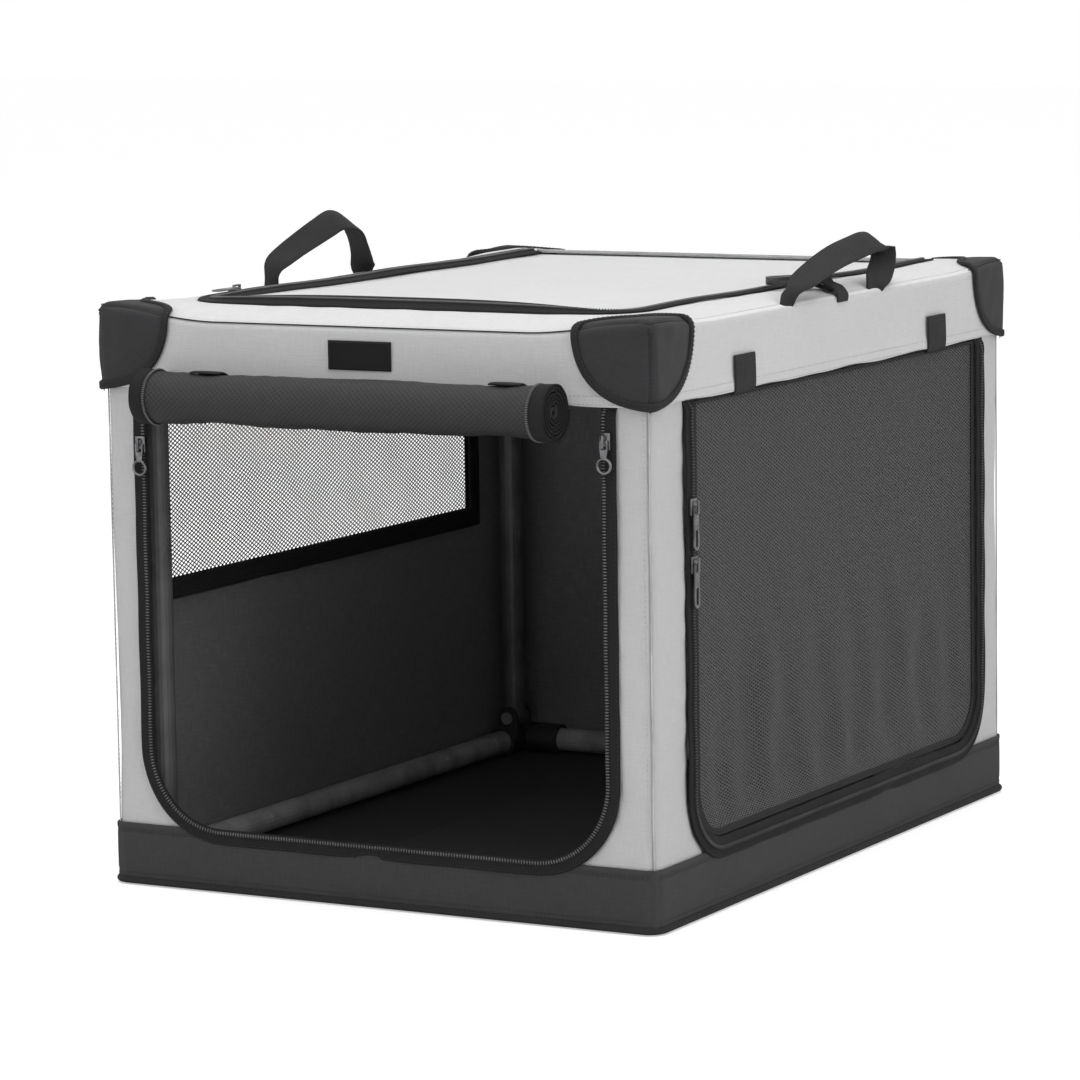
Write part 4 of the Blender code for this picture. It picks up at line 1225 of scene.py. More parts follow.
@dataclass
class Walls:
    """The four canvas walls with their dark lining and the seams between them."""

    cloth: float = 0.0024
    depth: float = 0.0019
    foot: float = 0.006
    top: float = 0.3815

    def build(self) -> None:
        """Makes all of them."""
        self._with_doorway(FRONT_DOORWAY, "front_wall", "front_panel", "base", ON_BASE)
        self._with_doorway(SIDE_DOORWAY, "right_wall", "right_panel", "right_wall", ON_RIGHT_WALL)
        self._left()
        self._back()
        self._seams()

    def _ripple(self, flat: np.ndarray, seed: int) -> np.ndarray:
        """How far the cloth dips in, least beside the hem and the band.

        Args:
            flat: Pairs of a distance along the wall and a height.
            seed: Fixes the waves.

        Returns:
            The depths.
        """
        a, z = flat[..., 0], flat[..., 1]
        calm = soft_step(z, BAND, 0.10) * (1 - 0.7 * soft_step(z, 0.33, 0.37))
        slow = waves(a, z * 0.5, 0.16, seed) * 0.0007
        fine = waves(a, z * 0.35, 0.045, seed + 1) * 0.00028
        return self.depth + np.maximum(slow + fine + 0.0007, 0) * (0.25 + calm)

    def _finish(
        self, face: Face, name: str, flat: np.ndarray, depth: np.ndarray, node: str, area: float, body: str = "base",
        fold: Fold = ON_BASE, ring: bool = False,
    ) -> None:
        """Lines a wall, and puts it in place.

        Args:
            face: The face that it covers.
            name: The piece's name.
            flat: Its points laid out flat.
            depth: How far inwards of the skin they lie.
            node: The node that it stands for.
            area: What it was cut to.
            body: The body that carries it.
            fold: How it flattens.
            ring: Whether each row closes on itself.
        """
        rows = face.lay(flat, depth)
        wall = thick(grid(name, rows, Finish.WALL, ring=ring, flat=flat), self.cloth, Finish.LINING)
        settle(wall, body, [node], fold, (area, lengths(rows[0])[-1]))

    def _with_doorway(self, door: Doorway, name: str, node: str, body: str, fold: Fold) -> None:
        """A wall that is only a broad U round its doorway.

        Args:
            door: Its doorway.
            name: The piece's name.
            node: The node that it stands for.
            body: The body that carries it.
            fold: How it flattens.
        """
        edge = door.face.edge
        inner = door.line(0.011, 64, top=self.top)
        outer = u_line(-edge, edge, self.foot, self.top, 0.002, 64)
        share = np.linspace(0, 1, 13)[:, None, None]
        flat = between(inner[None], outer[None], share)
        run = lengths(inner)[None, :]
        pucker = np.sin(run / 0.0043) * np.sin(run / 0.031) * 0.00045 * np.exp(-share[..., 0] * 5)
        depth = self._ripple(flat, len(name)) + pucker * soft_step(0.37 - flat[..., 1], 0, 0.01)
        along, out = np.diff(flat, axis=1)[:-1], np.diff(flat, axis=0)[:, :-1]
        area = float(np.abs(along[..., 0] * out[..., 1] - along[..., 1] * out[..., 0]).sum())
        self._finish(door.face, name, flat, depth, node, area, body, fold)

    def _left(self) -> None:
        """The left wall, a broad frame round its window."""
        edge = Face.LEFT.edge
        inner, outer = WINDOW.outline(0, 56), rectangle(edge, self.foot, self.top, 56)
        flat = between(inner[None], outer[None], np.linspace(0, 1, 15)[:, None, None] ** 0.8)
        area = 2 * edge * (self.top - self.foot) - WINDOW.area
        self._finish(Face.LEFT, "left_wall", flat, self._ripple(flat, 5), "left_panel", area, ring=True)

    def _back(self) -> None:
        """The plain back wall."""
        edge = Face.BACK.edge
        flat = stacked(*np.meshgrid(np.linspace(-edge, edge, 90), np.linspace(self.foot, self.top, 60)))
        area = 2 * edge * (self.top - self.foot)
        self._finish(Face.BACK, "back_wall", flat, self._ripple(flat, 8), "back_panel", area)

    def _seams(self) -> None:
        """The upright seams where two walls meet, each a grey welt painted darker than the walls as the corner's
        crease shade, with a row of stitches beside each.
        """
        height = np.linspace(self.foot, self.top - 0.004, 40)
        skin = self.depth - 0.0002
        for face, name in zip(Face, ("front_right", "back_right", "back_left", "front_left")):
            path = face.place(face.edge + np.sin(height * 60) * 0.0002, height, skin)
            out = unit((path[0] - face.place(face.edge, 0, 0.03)) * LEVEL)
            # The welt is a thin grey strip, darker than the walls, painted as the crease's shade along the corner.
            seam = swept(f"wall_seam_{name}", path, out, flat_profile(0.0014, 0.0011, 2), Finish.PALE_THREAD)
            settle(seam, "base", fold=ON_BASE)
            row = (face.place(face.edge - 0.0045, height[6:], skin), out)
            beads(f"wall_seam_stitches_{name}", [row], SEAM_STITCH, Finish.PALE_THREAD, "base", ON_BASE)


@dataclass
class Base:
    """The floor with its dark band, the piping round its foot and its stitching."""

    piping: float = 0.0026
    under: float = 0.011
    profile: tuple[tuple[float, float, float], ...] = (
        (0.17, 0.0030, 0.0), (0.03, 0.0031, 0.0), (0.0030, 0.0032, 0.0), (0.0018, 0.0045, 0.0),
        (0.0016, 0.0200, 0.4), (0.0015, 0.0440, 0.5), (0.0013, 0.0458, 0.5), (0.0006, 0.0464, 0.5),
        (0.0000, 0.0458, 0.5), (-0.0002, 0.0438, 0.5), (0.0003, 0.0405, 0.5), (0.0001, 0.0385, 0.6),
        (0.0000, 0.0300, 1.0), (0.0000, 0.0200, 1.0), (0.0001, 0.0125, 0.6), (0.0005, 0.0100, 0.3),
        (0.0002, 0.0080, 0.2), (0.0004, 0.0050, 0.0), (0.0010, 0.0020, 0.0), (0.0030, 0.0004, 0.0),
        (0.03, 0.0002, 0.0), (0.17, 0.0002, 0.0),
    )

    def _belly(self, face: Face, a: np.ndarray) -> np.ndarray:
        """The band's slack along the face."""
        calm = soft_step(face.half - np.abs(a), 0.02, 0.06)
        return 0.0006 * waves(a, a * 0, 0.12, 3 + int(face.half * 100)) * calm

    def _row(self, depth: float, height: float, slack: float, stations: Stations) -> np.ndarray:
        """One row of the band, or of the floor where it lies further in than the band's foot.

        Args:
            depth: How far inwards of the skin it lies.
            height: Its height.
            slack: Its share of the band's slack.
            stations: The places round the crate.

        Returns:
            The points.
        """
        if depth > self.under:
            row = ring_row(self.under, height, stations)
            row[:, :2] *= 1 - (depth - self.under) / HALF_Y
            return row
        seam = 0.0013 * (depth < 0.002)
        return ring_row(
            lambda face, a: depth + self._belly(face, a) * slack - seam * bump(np.abs(a) - face.edge, 0.0017),
            height,
            stations,
        )

    def build(self) -> None:
        """Makes all of it."""
        stations = ring_stations(46)
        rows = [self._row(*row, stations) for row in self.profile]
        tray = grid("base_band", np.array(rows), Finish.DARK, ring=True, capped=True)
        settle(tray, "base", ["base_tray"])
        foot = ring_row(0.0002, 0.0029, stations)
        outs = unit(ring_outs(stations) + unit(foot * LEVEL) * 0.2)
        piping = swept("base_piping", foot, outs, round_profile(self.piping), Finish.BINDING, closed=True)
        settle(piping, "base")
        lines = []
        for height, depth in ((0.0088, 0.0), (0.0418, -0.0001), (0.0398, 0.0)):
            path = ring_row(lambda face, a: depth + self._belly(face, a) * 0.4, height, stations)
            lines.append((looped(path), looped(outs)))
        beads("base_stitches", lines, BASE_STITCH, Finish.THREAD, "base")


def corner_arc_run(
    along: float, reach: float, first: float, last: float, share: np.ndarray
) -> tuple[np.ndarray, np.ndarray]:
    """A face's part of a rounded rectangle, from the middle of one corner to the middle of the next.

    Args:
        along: Half of the rectangle's length along the face.
        reach: The face's distance from the middle.
        first: The first corner's radius.
        last: The last corner's radius.
        share: Where to read it, from 0 to 1.

    Returns:
        The distances along the face and out of it.
    """
    quarter = math.pi / 4
    flat = 2 * along - first - last
    total = first * quarter + flat + last * quarter
    run = share * total
    early = np.clip(first * quarter - run, 0, None) / first
    late = np.clip(run - first * quarter - flat, 0, None) / last
    middle = np.clip(run - first * quarter, 0, flat)
    a = -along + first + middle - first * np.sin(early) + last * np.sin(late)
    out = reach - first * (1 - np.cos(early)) - last * (1 - np.cos(late))
    return a, out


@dataclass
class RoofZipLine:
    """Where the roof's zip runs, and how high it lies there."""

    half_x: float = 0.1747
    front: float = -0.2617
    back: float = 0.2617
    corner: float = 0.045
    tight: float = 0.006
    stand: float = 0.0048
    tilt: float = 0.0020

    def height(self, points: np.ndarray, grow: float) -> np.ndarray:
        """The roof's height at the zip, whose front run stands up from the border to the door's edge.

        Args:
            points: Places on the roof.
            grow: How much larger than the door the line through them is.

        Returns:
            The heights.
        """
        x, y = points[..., 0], points[..., 1]
        ahead = soft_step(-y - grow, 0.225, 0.262) * self.taper(x)
        sides = 0.0005 * np.sin(y * 31) + self.tilt * grow / TAPE
        return HEIGHT - 0.0012 + ahead * (0.0010 + self.stand * np.clip(1 - grow / TAPE, 0, 1.4)) + sides * (1 - ahead)

    def taper(self, x: np.ndarray) -> np.ndarray:
        """How the front run's standing part fades out toward its corners."""
        return (1 - (np.abs(x) / 0.185) ** 3).clip(0) ** 0.8

    def face_run(self, face: Face, share: np.ndarray, grow: float) -> np.ndarray:
        """One face's part of the closed line round the roof door.

        Args:
            face: The face.
            share: Where to read it, from 0 to 1.
            grow: How much larger the line is than the door.

        Returns:
            The points.
        """
        big, small = self.corner + grow, self.tight
        radii = {
            Face.FRONT: (big, big), Face.RIGHT: (big, small), Face.BACK: (small, small), Face.LEFT: (small, big),
        }
        low, high = self.front - grow, self.back + min(grow, 0.002)
        halves = self.half_x + grow, (high - low) / 2
        along, reach = halves if face in (Face.FRONT, Face.BACK) else halves[::-1]
        a, out = corner_arc_run(along, reach, *radii[face], share)
        return face.at(a, out, 0.0) + (0, (low + high) / 2, 0)

    def open_line(self, grow: float, steps: int = 60) -> np.ndarray:
        """The zip's U: up one side, across the front and back down the other.

        Args:
            grow: How much larger the line is than the door.
            steps: Points along each straight run.

        Returns:
            The points, in space.
        """
        half = self.half_x + grow
        line = u_line(-half, half, self.front - grow, self.back, self.corner + grow, steps)
        return np.column_stack([line, self.height(line, grow)])


ROOF_LINE = RoofZipLine()


@dataclass
class TopCover:
    """The roof's pale border, its soft edge and the skirt, as one sewn cover."""

    cloth: float = 0.0015
    edge_radius: float = 0.0055
    border_rows: int = 13
    inset: float = TAPE - 0.004

    def _edge(self, face: Face, a: np.ndarray) -> np.ndarray:
        """The height of the roof's edge."""
        return HEIGHT - 0.0008 - edge_drop(face, a)

    def _slack(self, face: Face, a: np.ndarray, share: float) -> np.ndarray:
        """How far the skirt stands in from the skin, by its share of the way down."""
        calm = soft_step(face.half - np.abs(a), 0.03, 0.08)
        slow = waves(a, a * 0 + share * 0.05, 0.11, 40 + int(face.half * 100) + int(sum(face.value[:2])))
        return calm * (0.0007 * slow * math.sin(math.pi * min(share * 0.75, 1)) - 0.0009 * share ** 3) + 0.0002

    def _border(self, share: float, stations: Stations) -> np.ndarray:
        """A row of the border.

        Args:
            share: How far out it lies, from 0 at the zip to 1 at the roof's edge.
            stations: The places round the crate.

        Returns:
            The points.
        """
        parts = []
        for face, a in stations:
            inner = ROOF_LINE.face_run(face, (a / face.edge + 1) / 2, self.inset)
            inner[:, 2] = ROOF_LINE.height(inner, self.inset) - 0.0006
            parts.append(between(inner, face.place(a, self._edge(face, a), self.edge_radius), share))
        row = np.concatenate(parts)
        row[:, 2] += math.sin(math.pi * share) * (0.0012 + 0.0005 * waves(row[:, 0], row[:, 1], 0.05, 4))
        return row

    def _round(self, turn: float, stations: Stations) -> np.ndarray:
        """A row of the rounded edge, by its angle from the roof."""
        depth, drop = (self.edge_radius * (1 - part) for part in (math.sin(turn), math.cos(turn)))
        return ring_row(depth + 0.0002, lambda face, a: self._edge(face, a) - drop, stations)

    def _skirt(self, share: float, stations: Stations) -> np.ndarray:
        """A row of the skirt, which is thicker at its hem.

        Args:
            share: How far down it lies, from 0 at the rounded edge to 1 at the hem.
            stations: The places round the crate.

        Returns:
            The points.
        """
        fold = 0.0007 * (share > 0.82) - 0.0008 * (share > 0.995)
        return ring_row(
            lambda face, a: self._slack(face, a, share) - fold,
            lambda face, a: between(
                self._edge(face, a) - self.edge_radius, HEM + 0.0006 * waves(a, a * 0, 0.09, 17), share
            ),
            stations,
        )

    def build(self) -> None:
        """Makes the cover with its seams and stitches."""
        stations = ring_stations(60)
        rows = [self._border(share, stations) for share in np.linspace(0, 1, self.border_rows)]
        rows += [self._round(turn, stations) for turn in np.linspace(0, math.pi / 2, 6)[1:]]
        rows += [self._skirt(share, stations) for share in (*np.linspace(0.04, 0.94, 13), 0.965, 0.985, 1.0)]
        closed = np.array([looped(row) for row in rows])
        border, skirt = closed[:self.border_rows], closed[self.border_rows:]
        flat = np.concatenate([border[..., :2], stacked(lengths(skirt[0]), skirt[..., 2])])
        cover = thick(grid("roof_cover", np.array(rows), Finish.ROOF, ring=True, flat=flat), self.cloth)
        # The cover's upright faces take the darker copy of its cloth as painted shade, and the rest take the lighter
        # copy as painted light.
        cover.data.materials.append(Finish.SKIRT.get())
        for polygon in cover.data.polygons:
            polygon.material_index = int(abs(polygon.normal.z) < 0.5)
        settle(cover, "top", ["top_cover"])
        self._seams()
        self._stitches(stations)

    def _seams(self) -> None:
        """The fine dark seams along the roof's front and back edges, and the fold behind its door, a raised grey strip
        painted as the fold's shade.
        """
        drop = self.edge_radius * 0.27
        for face in (Face.FRONT, Face.BACK):
            a = np.linspace(-1, 1, 80) * (face.edge - 0.006)
            path = face.place(a, self._edge(face, a) - drop, drop)
            name, profile = f"{face.name.lower()}_edge_seam", flat_profile(0.0014, 0.0008, 2)
            settle(swept(name, path, unit(face.out + UP), profile, Finish.BINDING), "top")
        x = np.linspace(-1, 1, 60) * (ROOF_LINE.half_x - 0.002)
        path = stacked(x, ROOF_LINE.back + 0.001 * np.cos(x * 8), HEIGHT + 0.0004)
        # A raised strip in the grey thread colour, painted as the shade of the fold behind the door.
        fold = swept("roof_door_hinge_fold_shade", path, UP, flat_profile(0.0024, 0.0012), Finish.PALE_THREAD)
        settle(fold, "top")

    def _stitches(self, stations: Stations) -> None:
        """The two rows along the hem.

        Args:
            stations: The places round the crate.
        """
        outs = looped(ring_outs(stations))
        lines = []
        for share in (0.86, 0.975):
            path = ring_row(
                lambda face, a: self._slack(face, a, share) - 0.0008,
                lambda face, a: between(self._edge(face, a) - self.edge_radius, HEM, share),
                stations,
            )
            lines.append((looped(path), outs))
        beads("skirt_stitches", lines, ROOF_STITCH, Finish.PALE_THREAD, "top")


@dataclass
class RoofDoor:
    """The zipped roof door: one soft sheet that sags a little."""

    sag: float = 0.0030
    cloth: float = 0.0022

    def build(self) -> None:
        """Makes the sheet and the stitches along its edge."""
        grow = TAPE / 2 - 0.004
        shares = np.linspace(0, 1, 61)[:-1]
        loop = np.concatenate([ROOF_LINE.face_run(face, shares, grow) for face in Face])
        out = np.concatenate([[0.004], np.linspace(0.04, 1, 40)])[:, None]
        rows = out[..., None] * loop
        rows[..., 2] = self._height(rows, out)
        # The roof door takes the roof cloth's lighter copy, which is painted light.
        door = grid("roof_door", rows, Finish.ROOF, ring=True, flat=rows[..., :2])
        with edited(door.data) as work:
            bmesh.ops.holes_fill(work, edges=[e for e in work.edges if e.is_boundary and e.calc_length() < 0.0005])
        area = 4 * ROOF_LINE.half_x * ROOF_LINE.back * 1.02
        settle(thick(door, self.cloth), "top_door", ["top_door"], cut=(area, 2 * ROOF_LINE.back))
        lines = []
        for inset in (0.011, 0.015):
            line = ROOF_LINE.open_line(grow - inset)
            line[:, 2] = self._height(line, 1 - inset / 0.2) + 0.0002
            lines.append((line, UP))
        beads("roof_door_stitches", lines, ROOF_STITCH, Finish.PALE_THREAD, "top_door")

    def _height(self, points: np.ndarray, share: np.ndarray | float) -> np.ndarray:
        """The sheet's height.

        Args:
            points: Places on it.
            share: How far out they are, from 0 in its middle to 1 at its edge.

        Returns:
            The heights.
        """
        x, y = points[..., 0], points[..., 1]
        slack = waves(x, y, 0.13, 21) * 0.0009 + waves(x, y, 0.05, 22) * 0.0003
        ahead = soft_step(-y, 0.08, 0.258) * ROOF_LINE.taper(x)
        front = ahead * (0.0012 + 1.35 * ROOF_LINE.stand)
        low = self.sag * (1 - share ** 4) * (0.62 + 0.38 * np.cos(y * 6))
        return HEIGHT - 0.0026 + front - low * (1 - ahead) + slack * (1 - share ** 6)


@dataclass
class CornerPatches:
    """The four dark patches over the roof's corners, padded by their seams."""

    reach: float = 0.062
    radius: float = 0.0065
    cloth: float = 0.0012
    binding: float = 0.0062

    def build(self) -> None:
        """Makes all four, each with its bound edge and stitches."""
        for side, name in ((-1, "left"), (1, "right")):
            for end, place in ((-1, "front"), (1, "back")):
                self._patch(f"{place}_{name}", side, end)

    def _wrap(
        self, run: np.ndarray, turn: np.ndarray, side: int, end: int, lift: np.ndarray | float
    ) -> tuple[np.ndarray, np.ndarray]:
        """Points on the rounded corner.

        Args:
            run: Distance from the corner's tip.
            turn: Angle once round the three faces, in quarter turns from 0 to 3.
            side: -1 on the left, 1 on the right.
            end: -1 at the front, 1 at the back.
            lift: How far outwards they lie.

        Returns:
            The points and the directions outwards.
        """
        part, leg = (turn % 1) * math.pi / 2, np.floor(turn).astype(int)[..., None]
        turned = stacked(run * np.cos(part), run * np.sin(part), 0 * run)
        corner = np.take_along_axis(turned, (np.arange(3) - leg) % 3, axis=-1)
        inner = np.maximum(corner, self.radius)
        outs = unit(corner - inner - 1e-9)
        points = inner + outs * (self.radius + np.asarray(lift)[..., None])
        ahead, aside = (Face.FRONT if end < 0 else Face.BACK), (Face.LEFT if side < 0 else Face.RIGHT)
        dx, dy, dz = np.moveaxis(points, -1, 0)
        drop = edge_drop(ahead, HALF_X - dx) * bump(dy, 0.03) + edge_drop(aside, HALF_Y - dy) * bump(dx, 0.03)
        points[..., 2] += drop * np.clip(1 - dz / 0.06, 0, 1)
        sign = np.array([side, end, 1.0])
        return (np.array([HALF_X, HALF_Y, HEIGHT]) - points) * sign, -outs * sign

    def _lift(self, run: np.ndarray, turn: np.ndarray, seed: int) -> np.ndarray:
        """How far the padded cloth stands out."""
        pad = np.sin(math.pi * np.clip(run / self.reach, 0, 1)) ** 0.6 * 0.0017
        folds = waves(run * np.cos(turn * 1.57), run * np.sin(turn * 1.57), 0.03, seed) * 0.0003
        aside = np.abs(turn - np.round(turn)) * np.minimum(run, 0.04)
        tuck = -0.0019 * bump(aside, 0.0019) * soft_step(run, 0.004, 0.012)
        return 0.0013 + (pad + folds) * np.where(turn < 1, 0.35, 1.0) + tuck

    def _patch(self, name: str, side: int, end: int) -> None:
        """One patch.

        Args:
            name: Where it is.
            side: -1 on the left, 1 on the right.
            end: -1 at the front, 1 at the back.
        """
        seed = 60 + side * 3 + end
        turn = np.linspace(0, 3, 97)[:-1]
        dip = 1 + np.where(turn < 1, -0.42, 0.05) * np.sin(turn * math.pi) ** 2
        dip += 0.018 * np.exp(-np.abs(turn - 2) / 0.07)
        run = np.concatenate([[0.0006], np.linspace(0.003, self.reach - 0.002, 26)])[:, None] * dip
        rows, _ = self._wrap(run, turn[None], side, end, self._lift(run, turn[None], seed))
        patch = thick(grid(f"patch_{name}", rows, Finish.PATCH, ring=True), self.cloth)
        settle(patch, "top", [f"corner_patch_{name}"])
        path, outs = self._wrap((self.reach - self.binding / 2) * dip, turn, side, end, 0.0008)
        tape = flat_profile(self.binding, 0.0021, crown=0.0005)
        settle(swept(f"patch_binding_{name}", path, outs, tape, Finish.BINDING, closed=True), "top")
        lines = []
        for inset in (0.0011, self.binding - 0.0011):
            line, up = self._wrap((self.reach - inset) * dip, turn, side, end, 0.0033)
            lines.append((looped(line), looped(up)))
        beads(f"patch_stitches_{name}", lines, PATCH_STITCH, Finish.THREAD, "top")
        run = np.linspace(0.004, self.reach + 0.001, 30)
        ridges = [np.full_like(run, leg) for leg in range(3)]
        lines = [self._wrap(run, ridge, side, end, self._lift(run, ridge, seed) + 0.0004) for ridge in ridges]
        beads(f"patch_seam_{name}", lines, PATCH_RIDGE, Finish.THREAD, "top")


@dataclass
class Handles:
    """The two webbing carry handles: limp loops whose ends go in under the roof's side edges."""

    width: float = 0.025
    cloth: float = 0.0026
    right: tuple[tuple[float, float, float], ...] = (
        (0.2250, -0.0845, 0.4130), (0.2250, -0.0842, 0.4260), (0.2250, -0.0740, 0.4345), (0.2235, -0.0484, 0.4420),
        (0.2205, -0.0147, 0.4490), (0.2175, 0.0195, 0.4542), (0.2150, 0.0559, 0.4578), (0.2140, 0.0813, 0.4600),
        (0.2140, 0.0985, 0.4580), (0.2165, 0.1030, 0.4490), (0.2205, 0.0900, 0.4385), (0.2245, 0.0690, 0.4290),
        (0.2250, 0.0650, 0.4130),
    )
    left: tuple[tuple[float, float, float], ...] = (
        (-0.2250, -0.0715, 0.4130), (-0.2250, -0.0712, 0.4280), (-0.2250, -0.0700, 0.4370), (-0.2245, -0.0650, 0.4442),
        (-0.2220, -0.0494, 0.4522), (-0.2195, -0.0346, 0.4585), (-0.2165, -0.0077, 0.4682), (-0.2160, 0.0128, 0.4733),
        (-0.2165, 0.0330, 0.4690), (-0.2180, 0.0467, 0.4560), (-0.2220, 0.0600, 0.4420), (-0.2250, 0.0670, 0.4290),
        (-0.2250, 0.0680, 0.4130),
    )

    def build(self) -> None:
        """Makes both."""
        for name, points in (("left", self.left), ("right", self.right)):
            self._handle(name, np.array(points))

    def _handle(self, name: str, points: np.ndarray) -> None:
        """One handle.

        Args:
            name: Its side.
            points: Points on its middle line, from the front foot to the back one.
        """
        path = smooth_path(points, 90)
        share = lengths(path) / lengths(path)[-1]
        slant = (soft_step(share, 0.03, 0.12) * (1 - soft_step(share, 0.86, 0.97)))[:, None]
        ahead = unit(np.gradient(path, axis=0))
        facing = soft_step(share, 0.15, 0.55)[:, None]
        across = between(np.array([0.92, 0.05, -0.30]), np.array([0.68, 0.27, -0.62]), facing)
        wide = between(np.array([0, 1.0, 0]), across, slant)
        wide = unit(wide - ahead * (wide * ahead).sum(axis=1)[:, None])
        outs = np.cross(wide, ahead)
        pinch = 0.86 - 0.42 * bump(share - 0.09, 0.06) - 0.1 * bump(share - 0.92, 0.03)
        profile = flat_profile(self.width, self.cloth, crown=0.0007, low=-self.cloth / 2)
        handle = swept(f"handle_{name}_webbing", path, outs, profile, Finish.WEBBING, widths=pinch)
        settle(handle, "top", [f"handle_{name}"])


@dataclass
class RolledDoor:
    """The front door, rolled up on the hem and held by two straps."""

    left: float = -0.1720
    right: float = 0.1660
    centre_y: float = -0.3305
    centre_z: float = 0.3697
    outer: float = 0.0202
    core: float = 0.0032
    cloth: float = 0.0017
    turns: int = 6
    straps: tuple[float, float] = (-0.1188, 0.1280)
    tape_lift: float = 0.0012

    def _tight(self, x: np.ndarray) -> np.ndarray:
        """How much the straps draw the roll in."""
        return sum(bump(x - place, 0.017) for place in self.straps)

    def _surface(self, x: np.ndarray, wound: np.ndarray, lift: float = 0.0) -> np.ndarray:
        """Points on the wound sheet.

        Args:
            x: Places along the roll.
            wound: The angle wound from the core.
            lift: How far outwards they lie.

        Returns:
            The points.
        """
        pitch = (self.outer - self.core) / self.turns / math.tau
        level = wound / (math.tau * self.turns)
        creases = waves(x * 0.5, wound * 0.012, 0.06, 31) * 0.0007 + waves(x, wound * 0.02, 0.02, 32) * 0.00025
        ends = np.minimum(x - self.left, self.right - x)
        flare = 0.0005 * np.exp(-ends / 0.012)
        radius = self.core + pitch * wound + lift + (creases + flare - 0.0011 * self._tight(x)) * level
        sag = -0.0012 * np.sin(math.pi * (x - self.left) / (self.right - self.left)) * 0.6
        return stacked(x, self.centre_y + radius * np.cos(wound), self.centre_z + sag + radius * np.sin(wound) * 0.985)

    def _outwards(self, points: np.ndarray) -> np.ndarray:
        """The directions out of the roll's middle line."""
        return unit((points - np.array([0, self.centre_y, self.centre_z])) * (0, 1, 1))

    def build(self) -> None:
        """Makes the wound sheet, its bound ends, their coils, and the straps."""
        x = np.linspace(self.right, self.left, 84)
        wound = np.linspace(0, math.tau * self.turns, 34 * self.turns)
        rows = self._surface(x[None], wound[:, None])
        tail = rows[-1] + np.linspace(0, 1, 6)[1:, None, None] * (HEM + 0.002 - rows[-1]) * UP
        rows = np.concatenate([rows, tail])
        roll = thick(grid("rolled_door", rows, Finish.ROLLED_NET), self.cloth)
        length = float(lengths(rows[:, 40])[-1])
        cut = (self.right - self.left) * length, length
        ends = self._ends(wound[20:])
        settle(roll, "front_roll", ["front_roll"], cut=cut)
        for name, place in zip(("left", "right"), self.straps):
            self._strap(name, place)

    def _ends(self, wound: np.ndarray) -> list[bpy.types.Object]:
        """The zip tape sewn along both ends of the sheet, and the coil on its edge.

        Args:
            wound: The angles wound from the core.

        Returns:
            The tapes and the coils.
        """
        tapes, coils = [], []
        for name, edge, sign in (("left", self.left, 1), ("right", self.right, -1)):
            inner = np.sort(edge + sign * np.array([-0.0012, 0.002, 0.006, 0.0108]))[::-1]
            rows = self._surface(inner[None], wound[:, None], self.tape_lift)
            tape = thick(grid(f"rolled_tape_{name}", rows, Finish.ZIP_TAPE), 0.0011)
            tapes.append(settle(tape, "front_roll"))
            spots = self._surface(np.full_like(wound, edge + sign * 0.0112), wound, self.tape_lift)
            line = (spots, self._outwards(spots))
            coils.append(beads(f"rolled_coil_{name}", [line], ROLLED_TOOTH, Finish.COIL, "front_roll"))
        return [*tapes, *coils]

    def _strap(self, name: str, place: float) -> None:
        """A webbing strap from the hem over the roll's top.

        Args:
            name: Its side.
            place: Where it is along the roll.
        """
        turn = np.linspace(math.radians(-12), math.radians(101), 26)
        path = self._surface(np.full_like(turn, place), turn + math.tau * (self.turns - 1), self.tape_lift)
        profile = flat_profile(0.025, 0.0014, crown=0.0003)
        strap = swept(f"roll_strap_{name}_webbing", path, self._outwards(path), profile, Finish.WEBBING)
        settle(strap, "front_roll", [f"roll_strap_{name}"])


def sew_zip(
    name: str, node: str, rows: Sequence[np.ndarray], teeth: tuple[np.ndarray, float, Finish],
    seams: Sequence[np.ndarray], out: np.ndarray, body: str, fold: Fold | None = None,
) -> None:
    """Makes a zip's tape, its coil and its stitches.

    Args:
        name: The zip's name.
        node: The node that it stands for.
        rows: The tape's lines, from one edge to the other.
        teeth: The coil's line, its width and its finish.
        seams: The stitched lines.
        out: The direction out of the tape.
        body: The body that carries it.
        fold: How it flattens, or None.
    """
    cloth, step, length = 0.0009, 0.0022, 0.0013
    tape = thick(grid(f"{name}_zip_tape", np.array(rows), Finish.ZIP_TAPE, turned=True), cloth)
    settle(tape, body, [node], fold)
    line, width, finish = teeth
    tooth = Bead(step, (length, width, step))
    beads(f"{name}_zip_coil", [(line, out)], tooth, finish, body, fold)
    stitched = [(seam, out) for seam in seams]
    beads(f"{name}_zip_stitches", stitched, ZIP_STITCH, Finish.THREAD, body, fold)


